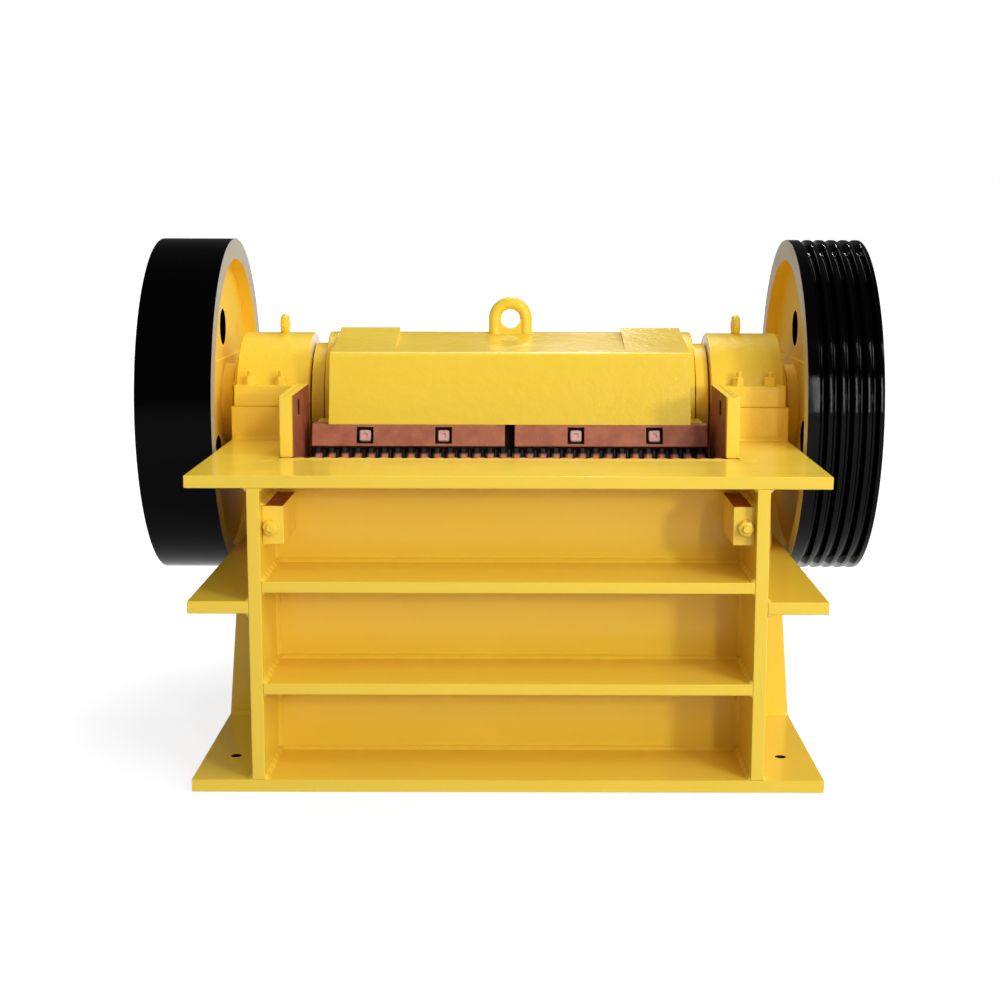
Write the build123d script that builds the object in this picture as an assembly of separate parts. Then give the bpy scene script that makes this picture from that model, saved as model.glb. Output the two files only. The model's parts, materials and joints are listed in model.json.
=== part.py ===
from build123d import *
import math
import os

# Jaw crusher with one toggle, wide and short, on a welded plate frame.
# x runs along the jaws, y runs from the feed side to the rear, z is up.
# The origin lies on the floor below the middle of the frame.
# All lengths are millimetres. The shaft stands with its throw upwards.

# Whole machine
INNER_WIDTH = 1280
TOP_LEVEL = 842
WALL_TO_SHAFT = 725
HEAD_TO_REAR_WALL = 39

# Frame
SIDE_PLATE = 34
END_PLATE = 30
RIB_PLATE = 30
FLANGE_PLATE = 33
FLANGE_REACH = 160
MID_FLANGE_DROP = 329
UPPER_RIB_DROP = 277
LOWER_RIB_LEVEL = 293.5
FRONT_RECESS = 285
REAR_RECESS = 236
FOUNDATION_HOLE_R = 15
FOUNDATION_HOLE_OUT = 76
FOUNDATION_HOLE_IN = 215

# Gussets outside the side walls
FRONT_GUSSET_OFFSET = 384
REAR_GUSSET_OFFSET = 120
LOWER_GUSSET_TOP_REACH = 126
UPPER_GUSSET_IN = 2
UPPER_GUSSET_REACH = 123
UPPER_GUSSET_TOP_REACH = 109

# Clamp blocks in the upper front bay
CLAMP_BLOCK_WIDTH = 56
CLAMP_BLOCK_HEIGHT = 102
CLAMP_BLOCK_DROP = 51
CLAMP_BLOCK_SETBACK = 40

# Shaft and bearings
SHAFT_RISE = 83
THROW = 10
JOURNAL_R = 80
THROW_R = 100
THROW_OVERHANG = 2
WHEEL_SEAT_R = 70
WHEEL_SEAT_STEP = 2
SHAFT_STUB = 5
END_DISC_R = 95
END_DISC = 10
HOUSING_R = 222
HOUSING_LAP = 34
CAP_SHORT = 10
FOOT_REACH = 36
JOINT_RISE = 16
CAP_FOOT_HEIGHT = 63
COVER_R = 150
COVER_THICKNESS = 10
RING_R = 190
RING_WIDTH = 38

# Wheels
WHEEL_R = 510
WHEEL_WIDTH = 220
WHEEL_GAP = 6
RIM_DEPTH = 62
WEB_RECESS = 42
WEB_THICKNESS = 48
WEB_PAD_HEIGHT = 8
WEB_PAD_CHORD = 145
HUB_R = 125
HUB_SHORT = 30
WEB_HOLE_R = 55
WEB_HOLE_PITCH_R = 240
WEB_HOLES = 3
FLYWHEEL_HOLE_TURN = 4
GROOVED_HOLE_TURN = -10
WEIGHT_CHORD = 290
WEIGHT_THICKNESS = 80
GROOVES = 5
GROOVE_PITCH = 37
GROOVE_EDGE = 25
GROOVE_TOP = 24
GROOVE_BOTTOM = 8
GROOVE_DEPTH = 26

# Swing jaw, drawn at rest
HEAD_R = 215
END_COVER_WIDTH = 30
BODY_TO_CHEEK = 30
JAW_TILT = 15.1
JAW_FOOT_Z = 60
DISCHARGE = 50
LIP_DEPTH = 34
LIP_HEIGHT = 14
SHELF_DROP = 22
BROW_FORWARD = 9
BROW_RISE = 173
BROW_ROUND = 22
FRONT_WALL_OF_JAW = 50
JAW_RIB = 30
JAW_RIBS = 6
BEAM_HALF_HEIGHT = 60
BEAM_FOOT_UP = 139
BEAM_FOOT_BACK = 73
FOOT_THICKNESS = 60
HOLLOW_SILL = 20
PAD_EDGE = 6
PAD_WIDTH = 182
PAD_START = 26
PAD_HEIGHT = 17
EYE_BAR_R = 18.2
EYE_R = 48
EYE_RISE = 42
EYE_FORWARD = 28
EYE_WEB = 26

# Jaw plates
PLATE_BODY = 40
TOOTH_HEIGHT = 22
TOOTH_PITCH = 38.5
TOOTH_CREST = 12
TOOTH_VALLEY = 8
PLATE_TO_CHEEK = 20
FIXED_PLATE_FOOT = 60
LEDGE_DEPTH = 36
WEDGE_GAP = 4
WEDGE_HEIGHT = 81
WEDGE_MIDDLE_GAP = 28
WEDGE_BOLT_EDGE = 155.5
WEDGE_BOLT_PITCH = 229
WEDGE_POCKET = 47
WEDGE_POCKET_DEPTH = 22

# Cheek plates beside the chamber, on thinner backing plates
CHEEK_PLATE = 22
BACKING_PLATE = 18
CHEEK_RISE = 168
CHEEK_TO_FIXED_PLATE = 18
CHEEK_TO_HOUSING = 7
CHEEK_FOOT = 45
CHEEK_FOOT_LENGTH = 185
CHEEK_KNEE_DROP = 152
CHEEK_POCKET = 44
CHEEK_POCKET_DEPTH = 16
CHEEK_POCKET_IN = 138
CHEEK_POCKET_DROP = 45
STOP_BAR_DEPTH = 30
STOP_BAR_WIDTH = 34

# Toggle and tension rods
TOGGLE_HALF_THICKNESS = 25
TOGGLE_SEAT_BACK = 150
TOGGLE_FRONT_LEVEL = 250
TOGGLE_REAR_LEVEL = 380
TOGGLE_HALF_WIDTH = 400
TOGGLE_BLOCK_DEPTH = 84
TOGGLE_BLOCK_OVERHANG = 20
TOGGLE_BLOCK_HALF_HEIGHT = 80
PIN_BACK = 158
PIN_Z = 110
PIN_R = 15
ROD_X = 330
ROD_R = 20
ROD_TAIL = 17
EYE_OUTER_R = 44
EYE_HALF_WIDTH = 20
LUG_R = 36
LUG_THICKNESS = 22
LUG_HEIGHT = 90
LUG_SPLAY = 30
ROD_HOLE_R = 30
WASHER_SIDE = 104
WASHER = 12
SPRING_R = 44
SPRING_BORE_R = 26
SPRING_LENGTH = 130
NUT_ACROSS = 55
NUT = 30

# Clearances, and how far a cutting shape runs past what it cuts
JOURNAL_CLEARANCE = 0.1
SEAT_CLEARANCE = 0.2
SIDE_CLEARANCE = 5
LUG_CLEARANCE = 6
PIN_CLEARANCE = 2
OVERCUT = 1

# Levels
MID_LEVEL = TOP_LEVEL - MID_FLANGE_DROP
UPPER_RIB_LEVEL = TOP_LEVEL - UPPER_RIB_DROP
UNDER_TOP = TOP_LEVEL - FLANGE_PLATE
CHEEK_TOP = TOP_LEVEL + CHEEK_RISE
SHAFT_Z = TOP_LEVEL + SHAFT_RISE
THROW_Z = SHAFT_Z + THROW
JOINT_LEVEL = SHAFT_Z + JOINT_RISE
SHELF_LEVEL = SHAFT_Z - SHELF_DROP
BROW_Z = THROW_Z + BROW_RISE

# Places from front to rear, with the frame's two ends equally far from the origin
FRONT_REACH = WALL_TO_SHAFT + END_PLATE + FRONT_RECESS
REAR_REACH = HEAD_R + HEAD_TO_REAR_WALL + END_PLATE + REAR_RECESS
SHAFT_Y = (FRONT_REACH - REAR_REACH) / 2
FRONT = SHAFT_Y - FRONT_REACH
REAR = SHAFT_Y + REAR_REACH
FRONT_WALL = FRONT + FRONT_RECESS
FRONT_WALL_BACK = FRONT_WALL + END_PLATE
REAR_WALL_BACK = REAR - REAR_RECESS
REAR_WALL = REAR_WALL_BACK - END_PLATE
FOOT_FRONT = SHAFT_Y - HOUSING_R - FOOT_REACH
FOOT_REAR = SHAFT_Y + HOUSING_R + FOOT_REACH
PLATE_DEPTH = PLATE_BODY + TOOTH_HEIGHT
TILT = math.radians(JAW_TILT)
FIXED_CREST_Y = FRONT_WALL_BACK + PLATE_DEPTH
JAW_FOOT_Y = FIXED_CREST_Y + DISCHARGE + PLATE_DEPTH * math.cos(TILT) - LIP_HEIGHT * math.sin(TILT)
CHEEK_FRONT = FIXED_CREST_Y + CHEEK_TO_FIXED_PLATE
CHEEK_REAR = FOOT_FRONT - CHEEK_TO_HOUSING

# Places from the middle to the sides
WALL_IN = INNER_WIDTH / 2
WALL_OUT = WALL_IN + SIDE_PLATE
FLANGE_EDGE = WALL_OUT + FLANGE_REACH
BACKING_IN = WALL_IN - BACKING_PLATE
CHEEK_IN = BACKING_IN - CHEEK_PLATE
BODY_HALF_WIDTH = CHEEK_IN - BODY_TO_CHEEK
HOUSING_INNER = WALL_IN - HOUSING_LAP
HOUSING_OUTER = FLANGE_EDGE
CAP_OUTER = HOUSING_OUTER - CAP_SHORT
RING_START = HOUSING_INNER - SIDE_CLEARANCE - RING_WIDTH
HEAD_END = RING_START - SIDE_CLEARANCE
HEAD_HALF_WIDTH = HEAD_END - END_COVER_WIDTH
THROW_END = HEAD_END + THROW_OVERHANG
WHEEL_INNER = HOUSING_OUTER + COVER_THICKNESS + WHEEL_GAP
WHEEL_OUTER = WHEEL_INNER + WHEEL_WIDTH
WEB_INNER = WHEEL_INNER + WEB_RECESS
HUB_OUTER = WHEEL_OUTER - HUB_SHORT
SHAFT_END = WHEEL_OUTER + SHAFT_STUB

# The teeth of one jaw plate stand half a pitch beside those of the other
MOVING_TEETH = int(2 * (CHEEK_IN - PLATE_TO_CHEEK) / TOOTH_PITCH)
MOST_TEETH = int(INNER_WIDTH / TOOTH_PITCH)
FIXED_TEETH = MOST_TEETH - (MOST_TEETH - MOVING_TEETH + 1) % 2
MOVING_HALF_WIDTH = MOVING_TEETH * TOOTH_PITCH / 2
FIXED_HALF_WIDTH = FIXED_TEETH * TOOTH_PITCH / 2


def block(x, y, z):
    """A box from its two limits along each axis."""
    size = Box(x[1] - x[0], y[1] - y[0], z[1] - z[0])
    return Pos(sum(x) / 2, sum(y) / 2, sum(z) / 2) * size


def outline(*points):
    """A face inside a closed polygon."""
    return make_face(Polyline(*points, close=True))


def rectangle(y, z):
    """A face in (y, z) from its two limits along each axis."""
    return outline((y[0], z[0]), (y[1], z[0]), (y[1], z[1]), (y[0], z[1]))


def disc(radius, y=SHAFT_Y, z=SHAFT_Z):
    """A round face in the y-z plane."""
    return Pos(y, z) * Circle(radius)


def along_x(sketch, start, end):
    """A sketch drawn in (y, z), carried from x = start to x = end."""
    return extrude(Plane.YZ.offset(start) * sketch, amount=end - start)


def along_y(sketch, start, end):
    """A sketch drawn in (x, z), carried from y = start to y = end."""
    return extrude(Plane.XZ.offset(-end) * sketch, amount=end - start)


def both(solid):
    """A piece of the right side together with its mirror image."""
    return solid + mirror(solid, about=Plane.YZ)


def save(name, solid):
    export_step(solid, f"parts/{name}.step")


def save_sides(name, right):
    """The piece of the right side and its mirror image, as two nodes."""
    save(f"{name}_right", right)
    save(f"{name}_left", mirror(right, about=Plane.YZ))


def on_face(up, out=0):
    """The (y, z) point that lies up the jaw's front face and out from it."""
    y = JAW_FOOT_Y + up * math.sin(TILT) - out * math.cos(TILT)
    z = JAW_FOOT_Z + up * math.cos(TILT) + out * math.sin(TILT)
    return (y, z)


def up_to_level(level, out=0):
    """How far up the front face a point at this depth reaches a level."""
    return (level - JAW_FOOT_Z - out * math.sin(TILT)) / math.cos(TILT)


def face_at(level):
    """The y of the jaw's front face at a level."""
    return on_face(up_to_level(level))[0]


def tangent_point(y, z, centre_y, centre_z, radius, side):
    """Where a line from (y, z) touches a circle, on the side given by 1 or -1."""
    dy = centre_y - y
    dz = centre_z - z
    reach = math.hypot(dy, dz)
    angle = math.atan2(dz, dy) + side * math.asin(radius / reach)
    length = math.sqrt(reach**2 - radius**2)
    return (y + length * math.cos(angle), z + length * math.sin(angle))


BROW_Y = face_at(SHELF_LEVEL) - BROW_FORWARD
WEDGE_FOOT = up_to_level(SHELF_LEVEL) - WEDGE_HEIGHT
MOVING_PLATE_LENGTH = WEDGE_FOOT - WEDGE_GAP - LIP_HEIGHT
TOGGLE_FRONT_Y = face_at(TOGGLE_FRONT_LEVEL) + TOGGLE_SEAT_BACK
TOGGLE_REAR_Y = REAR_WALL - TOGGLE_BLOCK_DEPTH
PIN_Y = face_at(PIN_Z) + PIN_BACK
SPRING_START = REAR_WALL_BACK + WASHER
SPRING_END = SPRING_START + SPRING_LENGTH
NUT_START = SPRING_END + WASHER
ROD_END = NUT_START + NUT + ROD_TAIL


# Frame pieces

def housing_space():
    """What the bearing housing takes out of the top flange."""
    face = disc(HOUSING_R + SEAT_CLEARANCE)
    return both(along_x(face, WALL_IN - OVERCUT, FLANGE_EDGE + OVERCUT))


def side_wall():
    """A wall whose upper edge fills the flange's opening and carries the housing."""
    face = outline(
        (FRONT, FLANGE_PLATE),
        (REAR, FLANGE_PLATE),
        (REAR, UNDER_TOP),
        (REAR_WALL, UNDER_TOP),
        (REAR_WALL, TOP_LEVEL),
        (FRONT_WALL_BACK, TOP_LEVEL),
        (FRONT_WALL_BACK, UNDER_TOP),
        (FRONT, UNDER_TOP),
    )
    face -= disc(HOUSING_R + SEAT_CLEARANCE)
    return along_x(face, WALL_IN, WALL_OUT)


def end_wall(front, back):
    return block((-WALL_IN, WALL_IN), (front, back), (FLANGE_PLATE, UNDER_TOP))


def rear_wall():
    hole = along_y(
        Pos(ROD_X, PIN_Z) * Circle(ROD_HOLE_R),
        REAR_WALL - OVERCUT,
        REAR_WALL_BACK + OVERCUT,
    )
    return end_wall(REAR_WALL, REAR_WALL_BACK) - both(hole)


def rib(top, start, end):
    return block((-WALL_IN, WALL_IN), (start, end), (top - RIB_PLATE, top))


def ring_flange(opening_x, top):
    """A flange right round the frame, with the chamber's opening in it."""
    levels = (top - FLANGE_PLATE, top)
    plate = block((-FLANGE_EDGE, FLANGE_EDGE), (FRONT, REAR), levels)
    opening = block((-opening_x, opening_x), (FRONT_WALL_BACK, REAR_WALL), levels)
    return plate - opening


def base_flange():
    plate = ring_flange(WALL_IN, FLANGE_PLATE)
    end = REAR - FOUNDATION_HOLE_IN
    for y in (-end, 0, end):
        hole = Pos(WALL_OUT + FOUNDATION_HOLE_OUT, y, FLANGE_PLATE / 2)
        hole = hole * Cylinder(FOUNDATION_HOLE_R, FLANGE_PLATE + 2 * OVERCUT)
        plate -= both(hole)
    return plate


def mid_flange():
    return block((WALL_OUT, FLANGE_EDGE), (FRONT, REAR), (MID_LEVEL - FLANGE_PLATE, MID_LEVEL))


def gusset(y, bottom, top, foot_reach, head_reach):
    """A plate across the outside of the wall that narrows upwards."""
    face = outline(
        (WALL_OUT, bottom),
        (WALL_OUT + foot_reach, bottom),
        (WALL_OUT + head_reach, top),
        (WALL_OUT, top),
    )
    return along_y(face, y - RIB_PLATE / 2, y + RIB_PLATE / 2)


def gussets():
    """Two plates below the middle flange and two beside the bearing above it."""
    plates = []
    under_mid = MID_LEVEL - FLANGE_PLATE
    for y in (SHAFT_Y - FRONT_GUSSET_OFFSET, SHAFT_Y + REAR_GUSSET_OFFSET):
        plates.append(gusset(y, FLANGE_PLATE, under_mid, FLANGE_REACH, LOWER_GUSSET_TOP_REACH))
    offset = HOUSING_R - UPPER_GUSSET_IN
    for y in (SHAFT_Y - offset, SHAFT_Y + offset):
        plates.append(gusset(y, MID_LEVEL, UNDER_TOP, UPPER_GUSSET_REACH, UPPER_GUSSET_TOP_REACH))
    return Compound(children=plates)


def clamp_block():
    x = (WALL_IN - CLAMP_BLOCK_WIDTH, WALL_IN)
    top = UNDER_TOP - CLAMP_BLOCK_DROP
    return block(x, (FRONT + CLAMP_BLOCK_SETBACK, FRONT_WALL), (top - CLAMP_BLOCK_HEIGHT, top))


# Bearings

def housing_face(foot_bottom, foot_top):
    """The round housing with its foot, bored for the journal."""
    face = disc(HOUSING_R) + rectangle((FOOT_FRONT, FOOT_REAR), (foot_bottom, foot_top))
    return face - disc(JOURNAL_R + JOURNAL_CLEARANCE)


def past_joint(side):
    """All of a housing's section above the joint (side 1) or below it (side -1)."""
    reach = HOUSING_R + JOINT_RISE + OVERCUT
    levels = sorted((JOINT_LEVEL, JOINT_LEVEL + side * reach))
    return rectangle((FOOT_FRONT - OVERCUT, FOOT_REAR + OVERCUT), levels)


def pedestal():
    """The lower part of a bearing housing, which hangs in the wall's notch."""
    face = housing_face(TOP_LEVEL, JOINT_LEVEL) - past_joint(1)
    return along_x(face, HOUSING_INNER, HOUSING_OUTER)


def bearing_cap():
    """The upper part, with a boss that carries the cover as far out as the pedestal."""
    face = housing_face(JOINT_LEVEL, JOINT_LEVEL + CAP_FOOT_HEIGHT) - past_joint(-1)
    boss = disc(COVER_R) - disc(JOURNAL_R + JOURNAL_CLEARANCE) - past_joint(-1)
    cap = along_x(face, HOUSING_INNER, CAP_OUTER)
    return cap + along_x(boss, CAP_OUTER, HOUSING_OUTER)


def bearing_cover():
    face = disc(COVER_R) - disc(JOURNAL_R + JOURNAL_CLEARANCE)
    return along_x(face, HOUSING_OUTER, HOUSING_OUTER + COVER_THICKNESS)


# Chamber

def toothed_plate(count, length, flip=1):
    """A jaw plate standing on z = 0, with its flat back on y = 0."""
    half = count * TOOTH_PITCH / 2
    flank = (TOOTH_PITCH - TOOTH_CREST - TOOTH_VALLEY) / 2
    valley = -PLATE_BODY * flip
    crest = -PLATE_DEPTH * flip
    points = [(-half, 0), (-half, valley)]
    for i in range(count):
        x = -half + i * TOOTH_PITCH + TOOTH_VALLEY / 2
        points.append((x, valley))
        points.append((x + flank, crest))
        points.append((x + flank + TOOTH_CREST, crest))
        points.append((x + 2 * flank + TOOTH_CREST, valley))
    points += [(half, valley), (half, 0)]
    return extrude(outline(*points), amount=length)


def moving_jaw_plate():
    plate = toothed_plate(MOVING_TEETH, MOVING_PLATE_LENGTH)
    y, z = on_face(LIP_HEIGHT)
    return Pos(0, y, z) * Rot(-JAW_TILT, 0, 0) * plate


def fixed_jaw_plate():
    plate = toothed_plate(FIXED_TEETH, TOP_LEVEL - FIXED_PLATE_FOOT, flip=-1)
    return Pos(0, FRONT_WALL_BACK, FIXED_PLATE_FOOT) * plate


def fixed_jaw_ledge():
    y = (FRONT_WALL_BACK, FRONT_WALL_BACK + LEDGE_DEPTH)
    return block((-FIXED_HALF_WIDTH, FIXED_HALF_WIDTH), y, (FLANGE_PLATE, FIXED_PLATE_FOOT))


def wedge_bar():
    """The bar above half of the moving plate, with square pockets for its bolts."""
    face = outline(
        on_face(WEDGE_FOOT),
        on_face(WEDGE_FOOT, PLATE_DEPTH),
        on_face(up_to_level(SHELF_LEVEL, PLATE_DEPTH), PLATE_DEPTH),
        on_face(up_to_level(SHELF_LEVEL)),
    )
    bar = along_x(face, WEDGE_MIDDLE_GAP / 2, MOVING_HALF_WIDTH)
    middle = (WEDGE_FOOT + up_to_level(SHELF_LEVEL, PLATE_DEPTH)) / 2
    y, z = on_face(middle, PLATE_DEPTH)
    outer = MOVING_HALF_WIDTH - WEDGE_BOLT_EDGE
    for x in (outer, outer - WEDGE_BOLT_PITCH):
        pocket = Box(WEDGE_POCKET, 2 * WEDGE_POCKET_DEPTH, WEDGE_POCKET)
        bar -= Pos(x, y, z) * Rot(-JAW_TILT, 0, 0) * pocket
    return bar


def cheek_outline():
    return outline(
        (CHEEK_FRONT, CHEEK_FOOT),
        (CHEEK_FRONT, CHEEK_TOP),
        (CHEEK_REAR, CHEEK_TOP),
        (CHEEK_REAR, TOP_LEVEL - CHEEK_KNEE_DROP),
        (CHEEK_FRONT + CHEEK_FOOT_LENGTH, CHEEK_FOOT),
    )


def cheek_plate():
    plate = along_x(cheek_outline(), CHEEK_IN, BACKING_IN)
    pocket = Box(2 * CHEEK_POCKET_DEPTH, CHEEK_POCKET, CHEEK_POCKET)
    place = Pos(CHEEK_IN, CHEEK_FRONT + CHEEK_POCKET_IN, CHEEK_TOP - CHEEK_POCKET_DROP)
    return plate - place * pocket


def backing_plate():
    return along_x(cheek_outline(), BACKING_IN, WALL_IN)


def stop_bar():
    """The bar on the fixed plate's end that holds the cheek plate's front edge."""
    x = (CHEEK_IN, CHEEK_IN + STOP_BAR_WIDTH)
    return block(x, (CHEEK_FRONT - STOP_BAR_DEPTH, CHEEK_FRONT), (TOP_LEVEL, CHEEK_TOP))


# Toggle and tension rods

def toggle_outline(half_thickness):
    """A flat bar with two round ends, from the jaw's seat to the block's seat."""
    dy = TOGGLE_REAR_Y - TOGGLE_FRONT_Y
    dz = TOGGLE_REAR_LEVEL - TOGGLE_FRONT_LEVEL
    angle = math.degrees(math.atan2(dz, dy))
    face = SlotCenterToCenter(math.hypot(dy, dz), 2 * half_thickness)
    middle = Pos(TOGGLE_FRONT_Y + dy / 2, TOGGLE_FRONT_LEVEL + dz / 2)
    return middle * Rot(0, 0, angle) * face


def toggle_plate():
    face = toggle_outline(TOGGLE_HALF_THICKNESS)
    return along_x(face, -TOGGLE_HALF_WIDTH, TOGGLE_HALF_WIDTH)


def toggle_block():
    low = TOGGLE_REAR_LEVEL - TOGGLE_BLOCK_HALF_HEIGHT
    high = TOGGLE_REAR_LEVEL + TOGGLE_BLOCK_HALF_HEIGHT
    face = rectangle((TOGGLE_REAR_Y, REAR_WALL), (low, high))
    face -= toggle_outline(TOGGLE_HALF_THICKNESS + SEAT_CLEARANCE)
    half = TOGGLE_HALF_WIDTH + TOGGLE_BLOCK_OVERHANG
    return along_x(face, -half, half)


def tension_rod():
    """A rod with an eye round the jaw's pin and a nut behind its spring."""
    centre = Pos(ROD_X, PIN_Z)
    rod = along_y(centre * Circle(ROD_R), PIN_Y, ROD_END)
    hexagon = RegularPolygon(NUT_ACROSS / 2, 6, major_radius=False)
    rod += along_y(centre * hexagon, NUT_START, NUT_START + NUT)
    eye_x = (ROD_X - EYE_HALF_WIDTH, ROD_X + EYE_HALF_WIDTH)
    rod += along_x(disc(EYE_OUTER_R, PIN_Y, PIN_Z), *eye_x)
    return rod - along_x(disc(PIN_R + THROW + PIN_CLEARANCE, PIN_Y, PIN_Z), *eye_x)


def tension_spring():
    ring = Circle(SPRING_R) - Circle(SPRING_BORE_R)
    return along_y(Pos(ROD_X, PIN_Z) * ring, SPRING_START, SPRING_END)


def spring_washers():
    """The square washers before and behind one spring."""
    plate = Rectangle(WASHER_SIDE, WASHER_SIDE) - Circle(ROD_R + SEAT_CLEARANCE)
    centre = Pos(ROD_X, PIN_Z)
    near = along_y(centre * plate, REAR_WALL_BACK, SPRING_START)
    return near + along_y(centre * plate, SPRING_END, NUT_START)


# Swing jaw

def brow_slope():
    """Both ends of the slope from the brow up to where it touches the head."""
    brow = (BROW_Y, BROW_Z)
    return brow, tangent_point(*brow, SHAFT_Y, THROW_Z, HEAD_R, 1)


def jaw_outline():
    """The casting seen from its end: foot, front face, brow, head and back."""
    notch_y = TOGGLE_FRONT_Y
    notch_z = TOGGLE_FRONT_LEVEL + THROW
    ty = TOGGLE_REAR_Y - TOGGLE_FRONT_Y
    tz = TOGGLE_REAR_LEVEL - TOGGLE_FRONT_LEVEL
    reach = BEAM_HALF_HEIGHT / math.hypot(ty, tz)
    beam_top = (notch_y - tz * reach, notch_z + ty * reach)
    beam_bottom = (notch_y + tz * reach, notch_z - ty * reach)
    brow, head_front = brow_slope()
    face = outline(
        on_face(0, LIP_DEPTH),
        on_face(LIP_HEIGHT, LIP_DEPTH),
        on_face(LIP_HEIGHT),
        on_face(up_to_level(SHELF_LEVEL)),
        on_face(up_to_level(SHELF_LEVEL, PLATE_DEPTH), PLATE_DEPTH),
        brow,
        head_front,
        (SHAFT_Y, THROW_Z),
        tangent_point(*beam_top, SHAFT_Y, THROW_Z, HEAD_R, -1),
        beam_top,
        beam_bottom,
        on_face(BEAM_FOOT_UP, -BEAM_FOOT_BACK),
        on_face(0, -FOOT_THICKNESS),
    )
    corner = face.vertices().sort_by_distance((*brow, 0))[0]
    face = fillet(corner, BROW_ROUND)
    face += disc(HEAD_R, SHAFT_Y, THROW_Z)
    return face - disc(EYE_OUTER_R + THROW + SIDE_CLEARANCE, PIN_Y, PIN_Z + THROW)


def jaw_hollow():
    """The space between two ribs, behind the front wall and under the head."""
    floor = TOGGLE_FRONT_LEVEL + THROW + BEAM_HALF_HEIGHT + HOLLOW_SILL
    low = on_face(up_to_level(floor, -FRONT_WALL_OF_JAW), -FRONT_WALL_OF_JAW)
    high = on_face(up_to_level(SHELF_LEVEL, -FRONT_WALL_OF_JAW), -FRONT_WALL_OF_JAW)
    far = SHAFT_Y + 2 * HEAD_R
    space = outline(low, high, (far, high[1]), (far, low[1]))
    return space - disc(HEAD_R, SHAFT_Y, THROW_Z)


def jaw_lug():
    """Two cheeks and a pin that carry one tension rod's eye."""
    y, z = PIN_Y, PIN_Z + THROW
    face = disc(LUG_R, y, z)
    face += outline(
        (y - LUG_R, z),
        (y + LUG_R, z),
        (y + LUG_R, z + LUG_HEIGHT),
        (y - LUG_R - LUG_SPLAY, z + LUG_HEIGHT),
    )
    inner = EYE_HALF_WIDTH + LUG_CLEARANCE
    outer = inner + LUG_THICKNESS
    lug = along_x(face, ROD_X - outer, ROD_X - inner)
    lug += along_x(face, ROD_X + inner, ROD_X + outer)
    return lug + along_x(disc(PIN_R, y, z), ROD_X - outer, ROD_X + outer)


def lifting_eye():
    """A bar bent into a hoop on top of the head, with a web round its hole."""
    y = SHAFT_Y - EYE_FORWARD
    z = THROW_Z + HEAD_R + EYE_RISE
    foot = THROW_Z + HEAD_R - EYE_BAR_R
    octagon = Rot(0, 0, 180 / 8) * RegularPolygon(EYE_BAR_R, 8)
    leg = Pos(EYE_R, y, foot) * extrude(octagon, amount=z - foot)
    bow = revolve(Plane.XY.offset(z) * Pos(EYE_R, y) * octagon, Axis((0, y, z), (0, -1, 0)), 180)
    web = block((-EYE_R, EYE_R), (y - EYE_WEB / 2, y + EYE_WEB / 2), (foot, z))
    hole = along_y(Pos(0, z) * Circle(EYE_R - EYE_BAR_R), y - EYE_WEB, y + EYE_WEB)
    return both(leg) + bow + (web - hole)


def jaw_pad():
    """A raised pad on the slope of the head that grows from nothing to its height."""
    brow, end = brow_slope()
    run = math.dist(brow, end)
    along = ((end[0] - brow[0]) / run, (end[1] - brow[1]) / run)
    start = (brow[0] + PAD_START * along[0], brow[1] + PAD_START * along[1])
    rise = (-along[1] * PAD_HEIGHT, along[0] * PAD_HEIGHT)
    top = (end[0] + rise[0], end[1] + rise[1])
    face = outline(start, top, (end[0] - rise[0], end[1] - rise[1]))
    outer = HEAD_HALF_WIDTH - PAD_EDGE
    return along_x(face, outer - PAD_WIDTH, outer)


def swing_jaw():
    face = jaw_outline()
    below_shelf = rectangle((JAW_FOOT_Y - WALL_TO_SHAFT, REAR), (0, SHELF_LEVEL))
    jaw = along_x(face, -HEAD_HALF_WIDTH, HEAD_HALF_WIDTH)
    body = (face & below_shelf) - disc(HEAD_R + SIDE_CLEARANCE, SHAFT_Y, THROW_Z)
    jaw += along_x(body, -BODY_HALF_WIDTH, BODY_HALF_WIDTH)
    bay = (2 * BODY_HALF_WIDTH - JAW_RIBS * JAW_RIB) / (JAW_RIBS - 1)
    for i in range(JAW_RIBS - 1):
        start = -BODY_HALF_WIDTH + JAW_RIB + i * (bay + JAW_RIB)
        jaw -= along_x(jaw_hollow(), start, start + bay)
    notch_r = TOGGLE_HALF_THICKNESS + THROW + SIDE_CLEARANCE
    notch = disc(notch_r, TOGGLE_FRONT_Y, TOGGLE_FRONT_LEVEL + THROW)
    jaw -= along_x(notch, -BODY_HALF_WIDTH, BODY_HALF_WIDTH)
    bore = disc(THROW_R + JOURNAL_CLEARANCE, SHAFT_Y, THROW_Z)
    jaw -= along_x(bore, -HEAD_HALF_WIDTH, HEAD_HALF_WIDTH)
    return jaw + both(jaw_pad()) + both(jaw_lug()) + lifting_eye()


def jaw_end_cover():
    face = disc(HEAD_R, SHAFT_Y, THROW_Z) - disc(THROW_R + JOURNAL_CLEARANCE, SHAFT_Y, THROW_Z)
    return along_x(face, HEAD_HALF_WIDTH, HEAD_END)


# Shaft and wheels

def eccentric_shaft():
    """Journals, the thicker throw between them, wheel seats and end discs."""
    seat_start = WHEEL_INNER - WHEEL_SEAT_STEP
    shaft = along_x(disc(JOURNAL_R), -seat_start, seat_start)
    shaft += along_x(disc(WHEEL_SEAT_R), -SHAFT_END, SHAFT_END)
    shaft += along_x(disc(THROW_R, SHAFT_Y, THROW_Z), -THROW_END, THROW_END)
    return shaft + both(along_x(disc(END_DISC_R), SHAFT_END, SHAFT_END + END_DISC))


def shaft_ring():
    face = disc(RING_R) - disc(JOURNAL_R + SEAT_CLEARANCE)
    return along_x(face, RING_START, RING_START + RING_WIDTH)


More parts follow.
